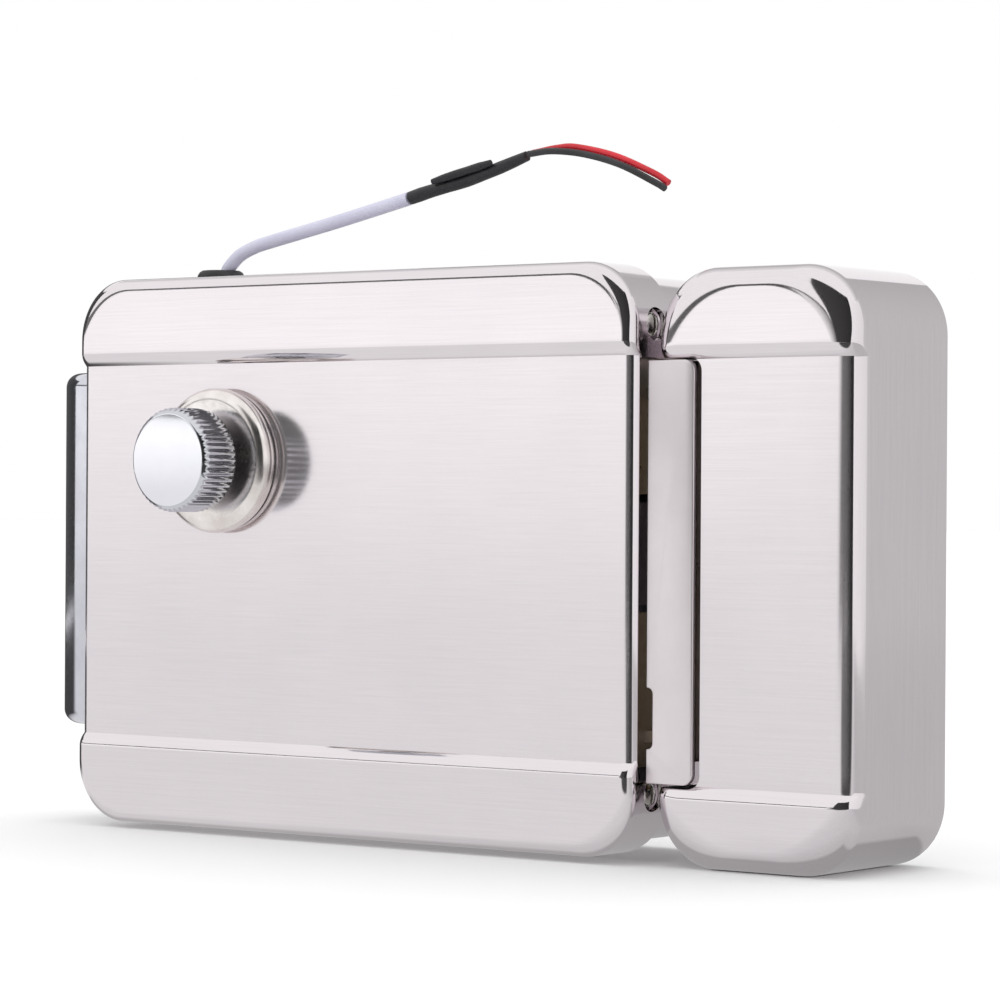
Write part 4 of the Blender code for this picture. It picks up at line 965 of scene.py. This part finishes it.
def make_collar(look):
    """Domed collar with its sleeve through the cover, and the base ring under it."""
    centre = (KNOB_X, 0, KNOB_Z)
    depth, width = COLLAR_DOME
    outline = [(-39.3, COLLAR_BORE_R), (COLLAR_FRONT_Y, 4.2), (COLLAR_FRONT_Y, COLLAR_FACE_R)]
    for step in range(1, DOME_STEPS + 1):
        angle = math.pi / 2 * step / DOME_STEPS
        back = depth * (1 - math.cos(angle))
        outline.append((COLLAR_FRONT_Y + back, COLLAR_FACE_R + width * math.sin(angle)))
    outline += [(COLLAR_REAR_Y, COLLAR_FACE_R + width), (COLLAR_REAR_Y, COLLAR_SLEEVE_R)]
    outline += [(-32.0, COLLAR_SLEEVE_R), (-32.0, COLLAR_BORE_R)]
    collar = smooth(lathe("collar_fine", "Y", centre, outline, 160))
    dress(collar, look["collar"], "lock_body", "nickel_shell", "button_collar")
    outline = [(-37.1, 8.4), (-37.1, 12.9), (-36.95, 13.2), (-36.7, 13.3), (-36.1, 13.3)]
    outline += [(-35.9, 13.1), (-35.9, 8.4)]
    ring = smooth(lathe("ring_fine", "Y", centre, outline, 160))
    dress(ring, look["collar"], "lock_body", "nickel_shell", "collar_ring")


# ---------------------------------------------------------------- springs and screws
def spring(name, axis, centre, radius, wire, start, end, turns):
    """A coil spring as a mesh. The wire is given by its radius."""
    curve = bpy.data.curves.new(name, "CURVE")
    curve.dimensions = "3D"
    curve.bevel_depth = mm(wire)
    curve.bevel_resolution = 4
    curve.use_fill_caps = True
    spline = curve.splines.new("POLY")
    count = int(turns * STEPS_PER_COIL) + 1
    spline.points.add(count - 1)
    for i in range(count):
        share = i / (count - 1)
        angle = 2 * math.pi * turns * share
        along = start + wire + (end - start - 2 * wire) * share
        local = Vector((radius * math.cos(angle), radius * math.sin(angle), along))
        point = AXIS_TURN[axis] @ local + Vector(centre)
        spline.points[i].co = (*mm(*point), 1.0)
    guide = link(name + "_guide", curve)
    graph = bpy.context.evaluated_depsgraph_get()
    mesh = bpy.data.meshes.new_from_object(guide.evaluated_get(graph))
    bpy.data.objects.remove(guide, do_unlink=True)
    return link(name, mesh)


def make_springs(look):
    """The three springs. Two of them get a mesh of their own."""
    centre = (KNOB_X, 0, KNOB_Z)
    button = spring("button_spring_fine", "Y", centre, 4.4, 0.4, -30.5, -24.9, 3.5)
    dress(button, look["steel"], "lock_body", "steel", "button_spring")
    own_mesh(button)
    plunger = spring("plunger_spring_fine", "X", (0, SOLENOID_Y, SOLENOID_Z), 4.75, 0.35, 38.3, 42.9, 3)
    dress(plunger, look["steel"], "lock_body", "steel", "plunger_spring")
    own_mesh(plunger)
    tongue = spring("tongue_spring_fine", "Z", (PIN_X, PIN_Y, 0), 2.1, 0.35, 20.4, 28.1, 5)
    dress(tongue, look["steel"], "lock_body", "steel", "tongue_spring")


def make_bracket_screws(look):
    """Slotted screws at the leading edge, with domed heads."""
    for name, z in (("bracket_screw_upper", SIDE_SCREW_Z), ("bracket_screw_lower", -SIDE_SCREW_Z)):
        head = [(65.6, 0), (65.57, 0.8), (65.42, 1.4), (65.15, 1.9), (64.8, 2.15), (64.3, 2.2)]
        head += [(64.3, 1.2), (58.4, 1.2), (58.4, 0)]
        screw = lathe(name + "_fine", "X", (0, SIDE_SCREW_Y, z), head, 48)
        slot = (SIDE_SCREW_Y - 0.35, SIDE_SCREW_Y + 0.35)
        cut(screw, block("cutter", (64.9, 67), slot, (z - 4, z + 4)))
        smooth(screw)
        dress(screw, look["screw"], "lock_body", "steel", name)


def dress_cad_nodes(look):
    """CAD nodes whose shape is already right get only a better material."""
    finishes = {
        "bracket": "tongue_bracket",
        "zinc": "solenoid_frame stem_guide slide_guide cam_yoke keeper_strike",
        "steel": "tongue_pin catch_lever catch_pin release_slide solenoid_core plunger plunger_pin "
        "button_stem stem_clip collar_nut keeper_base case_pillar_1 case_pillar_2 case_pillar_3 "
        "case_pillar_4 keeper_pillar_1 keeper_pillar_2",
        "screw": "case_screw_1 case_screw_2 case_screw_3 case_screw_4 keeper_screw_1 keeper_screw_2",
        "plastic": "solenoid_bobbin terminal_block",
        "copper": "solenoid_coil",
        "brass": "cam_hub terminal_screw_1 terminal_screw_2",
    }
    for key, names in finishes.items():
        for name in names.split():
            node = NODES[name]
            if not node.data.materials:
                node.data.materials.append(look[key])
            for index in range(len(node.data.materials)):
                node.data.materials[index] = look[key]


# ---------------------------------------------------------------- studio
def make_world():
    """Even white light from all round."""
    world = bpy.data.worlds.new("studio")
    world.use_nodes = True
    background = world.node_tree.nodes["Background"]
    background.inputs["Color"].default_value = (1.0, 1.0, 1.0, 1.0)
    background.inputs["Strength"].default_value = 1.0
    bpy.context.scene.world = world
    bpy.context.scene.view_settings.view_transform = "Standard"


def flat_mesh(name, corners):
    mesh = bpy.data.meshes.new(name)
    mesh.from_pydata(corners, [], [list(range(len(corners)))])
    return link(name, mesh)


def floor_level():
    return min(corner[2] for corner in cad_box) - FLOOR_DROP


def square(half, z):
    return [(-half, -half, z), (half, -half, z), (half, half, z), (-half, half, z)]


def make_floor():
    """Plain white paper under the object."""
    floor = flat_mesh("floor", square(FLOOR_HALF, floor_level()))
    material, tree, shader = start_material("floor_paper")
    tone = noise(tree, object_place(tree), 8.0, 3.0)
    paper = two_colours(tree, tone, (0.965, 0.965, 0.965), (0.985, 0.985, 0.985))
    connect(tree, shader, "Base Color", paper)
    shader.inputs["Roughness"].default_value = 0.8
    floor.data.materials.append(material)


def glowing(name, glow, tree, material):
    """Finish a card's material: it only gives off light, with the given strength."""
    emission = add(tree, "Emission", {"Color": (1.0, 1.0, 1.0, 1.0), "Strength": glow})
    output = add(tree, "OutputMaterial")
    tree.links.new(emission.outputs[0], output.inputs["Surface"])
    return material


def empty_material(name):
    material = bpy.data.materials.new(name)
    material.use_nodes = True
    material.node_tree.nodes.clear()
    return material, material.node_tree


def only_in_reflections(obj):
    obj.visible_camera = False
    obj.visible_diffuse = False
    obj.visible_shadow = False
    obj.visible_transmission = False


def make_card(name, azimuths, distance, heights, low_glow, high_glow):
    """An upright card, bent round the object between two azimuths, that shows only in reflections.

    Each glow holds the card's strength at its first and at its last azimuth.
    """
    bm = bmesh.new()
    layer = bm.verts.layers.float.new("glow")
    rows = []
    for height, glow in zip(heights, (low_glow, high_glow)):
        row = []
        for step in range(CARD_STEPS + 1):
            turn = math.radians(azimuths[0] + (azimuths[1] - azimuths[0]) * step / CARD_STEPS)
            place = (distance * math.sin(turn), -distance * math.cos(turn), floor_level() + height)
            corner = bm.verts.new(place)
            corner[layer] = glow[0] + (glow[1] - glow[0]) * step / CARD_STEPS
            row.append(corner)
        rows.append(row)
    for i in range(CARD_STEPS):
        bm.faces.new((rows[0][i], rows[0][i + 1], rows[1][i + 1], rows[1][i]))
    mesh = bpy.data.meshes.new(name)
    bm.to_mesh(mesh)
    bm.free()
    card = link(name, mesh)
    material, tree = empty_material(name)
    strength = add(tree, "Attribute", attribute_name="glow").outputs["Fac"]
    card.data.materials.append(glowing(name, strength, tree, material))
    only_in_reflections(card)


def sector(tree, place, azimuth, half_width):
    """One inside a wedge of floor that opens from the place towards an azimuth, else nought."""
    turn = math.radians(azimuth)
    way = (math.sin(turn), -math.cos(turn), 0.0)
    unit = add(tree, "VectorMath", {0: place}, operation="NORMALIZE").outputs[0]
    along = add(tree, "VectorMath", {0: unit, 1: way}, operation="DOT_PRODUCT").outputs["Value"]
    edge = math.cos(math.radians(half_width))
    return spread(tree, along, edge - 0.03, edge + 0.03, 0.0, 1.0)


def make_ground_card():
    """The floor as the metal sees it: shaded close to the object, pale in front and grey behind,
    with the upright dark cards carried on across it."""
    ground = flat_mesh("ground_card", square(GROUND_HALF, floor_level() + 2 * FLOOR_DROP))
    material, tree = empty_material("ground_card")
    place = add(tree, "NewGeometry").outputs["Position"]
    centred = add(tree, "VectorMath", {0: place, 1: (0.016, -0.018, 0.0)}, operation="SUBTRACT").outputs[0]
    beside = add(tree, "VectorMath", {0: centred}, operation="ABSOLUTE").outputs[0]
    outside = add(tree, "VectorMath", {0: beside, 1: (0.094, 0.018, 1.0)}, operation="SUBTRACT").outputs[0]
    outside = add(tree, "VectorMath", {0: outside, 1: (0.0, 0.0, 0.0)}, operation="MAXIMUM").outputs[0]
    away = add(tree, "VectorMath", {0: outside}, operation="LENGTH").outputs["Value"]
    near = spread(tree, away, 0.0, 0.0015, 0.60, 0.86)
    shade = maths(tree, "ADD", near, spread(tree, away, 0.0, 0.012, 0.0, 0.14))
    ahead = add(tree, "VectorMath", {0: centred, 1: (-0.588, -0.809, 0.0)}, operation="DOT_PRODUCT")
    pale = spread(tree, ahead.outputs["Value"], -0.08, 0.04, 0.56, 0.84)
    from_keeper = add(tree, "VectorMath", {0: place, 1: (0.09, -0.03, 0.0)}, operation="SUBTRACT").outputs[0]
    dark = maths(tree, "MAXIMUM", sector(tree, from_keeper, 16, 30), sector(tree, centred, -106, 34))
    dark = maths(tree, "MULTIPLY", dark, spread(tree, away, 0.03, 0.07, 0.0, 0.92))
    glow = maths(tree, "MULTIPLY", shade, pale)
    glow = maths(tree, "MULTIPLY", glow, maths(tree, "SUBTRACT", 1.0, dark))
    ground.data.materials.append(glowing("ground_card", glow, tree, material))
    only_in_reflections(ground)


def make_ceiling_card():
    """Light card above and behind the object, dimmer towards the back."""
    z = CEILING_HEIGHT
    ceiling = flat_mesh("ceiling_card", [(-1, 0, z), (1, 0, z), (1, 1.2, z), (-1, 1.2, z)])
    material, tree = empty_material("ceiling_card")
    depth = add(tree, "SeparateXYZ", {0: add(tree, "NewGeometry").outputs["Position"]}).outputs[1]
    glow = spread(tree, depth, 0.0, 0.6, 0.90, 0.55)
    ceiling.data.materials.append(glowing("ceiling_card", glow, tree, material))
    only_in_reflections(ceiling)


def make_cards():
    """Pale panels for the flat faces to reflect, and dark gaps between them for the rounded edges."""
    make_card("left_panel_low", (-72, -25), 1.05, (0.0, 0.14), (0.84, 0.84), (1.16, 1.16))
    make_card("left_panel_high", (-72, -25), 1.05, (0.14, 0.19), (1.16, 1.16), (1.10, 1.10))
    make_card("left_frame", (-72, -16), 1.04, (0.19, 0.28), (0.22, 0.06), (0.22, 0.06))
    make_card("gap_edge", (-25, -14), 1.0, (0.0, 0.25), (0.95, 0.10), (0.95, 0.10))
    make_card("front_gap", (-14, 46), 1.0, (0.0, 1.0), (0.06, 0.03), (0.06, 0.03))
    make_card("left_gap", (-135, -72), 1.1, (0.0, 0.6), (0.12, 0.05), (0.12, 0.05))
    make_card("right_panel", (46, 122), 1.05, (0.0, 0.9), (0.98, 0.85), (1.0, 0.9))
    make_card("back_panel", (122, 185), 1.1, (0.0, 0.9), (0.66, 0.50), (0.66, 0.50))


def make_lights():
    """One very soft light from above, which lays the shadow under the object."""
    data = bpy.data.lights.new("overhead", "SUN")
    data.angle = math.radians(70)
    data.energy = 0.5
    light = bpy.data.objects.new("overhead", data)
    light.visible_glossy = False
    light.rotation_euler = (math.radians(-12), math.radians(-10), 0.0)
    bpy.context.scene.collection.objects.link(light)


# ---------------------------------------------------------------- build
make_camera()
look = make_materials()
make_cable(look)
make_grommet(look)
make_front_cover(look)
make_rear_case(look)
make_keeper(look)
make_end_cap(look)
make_tongue(look)
make_knob(look)
make_collar(look)
make_springs(look)
make_bracket_screws(look)
dress_cad_nodes(look)
make_world()
make_floor()
make_ground_card()
make_ceiling_card()
make_cards()
make_lights()
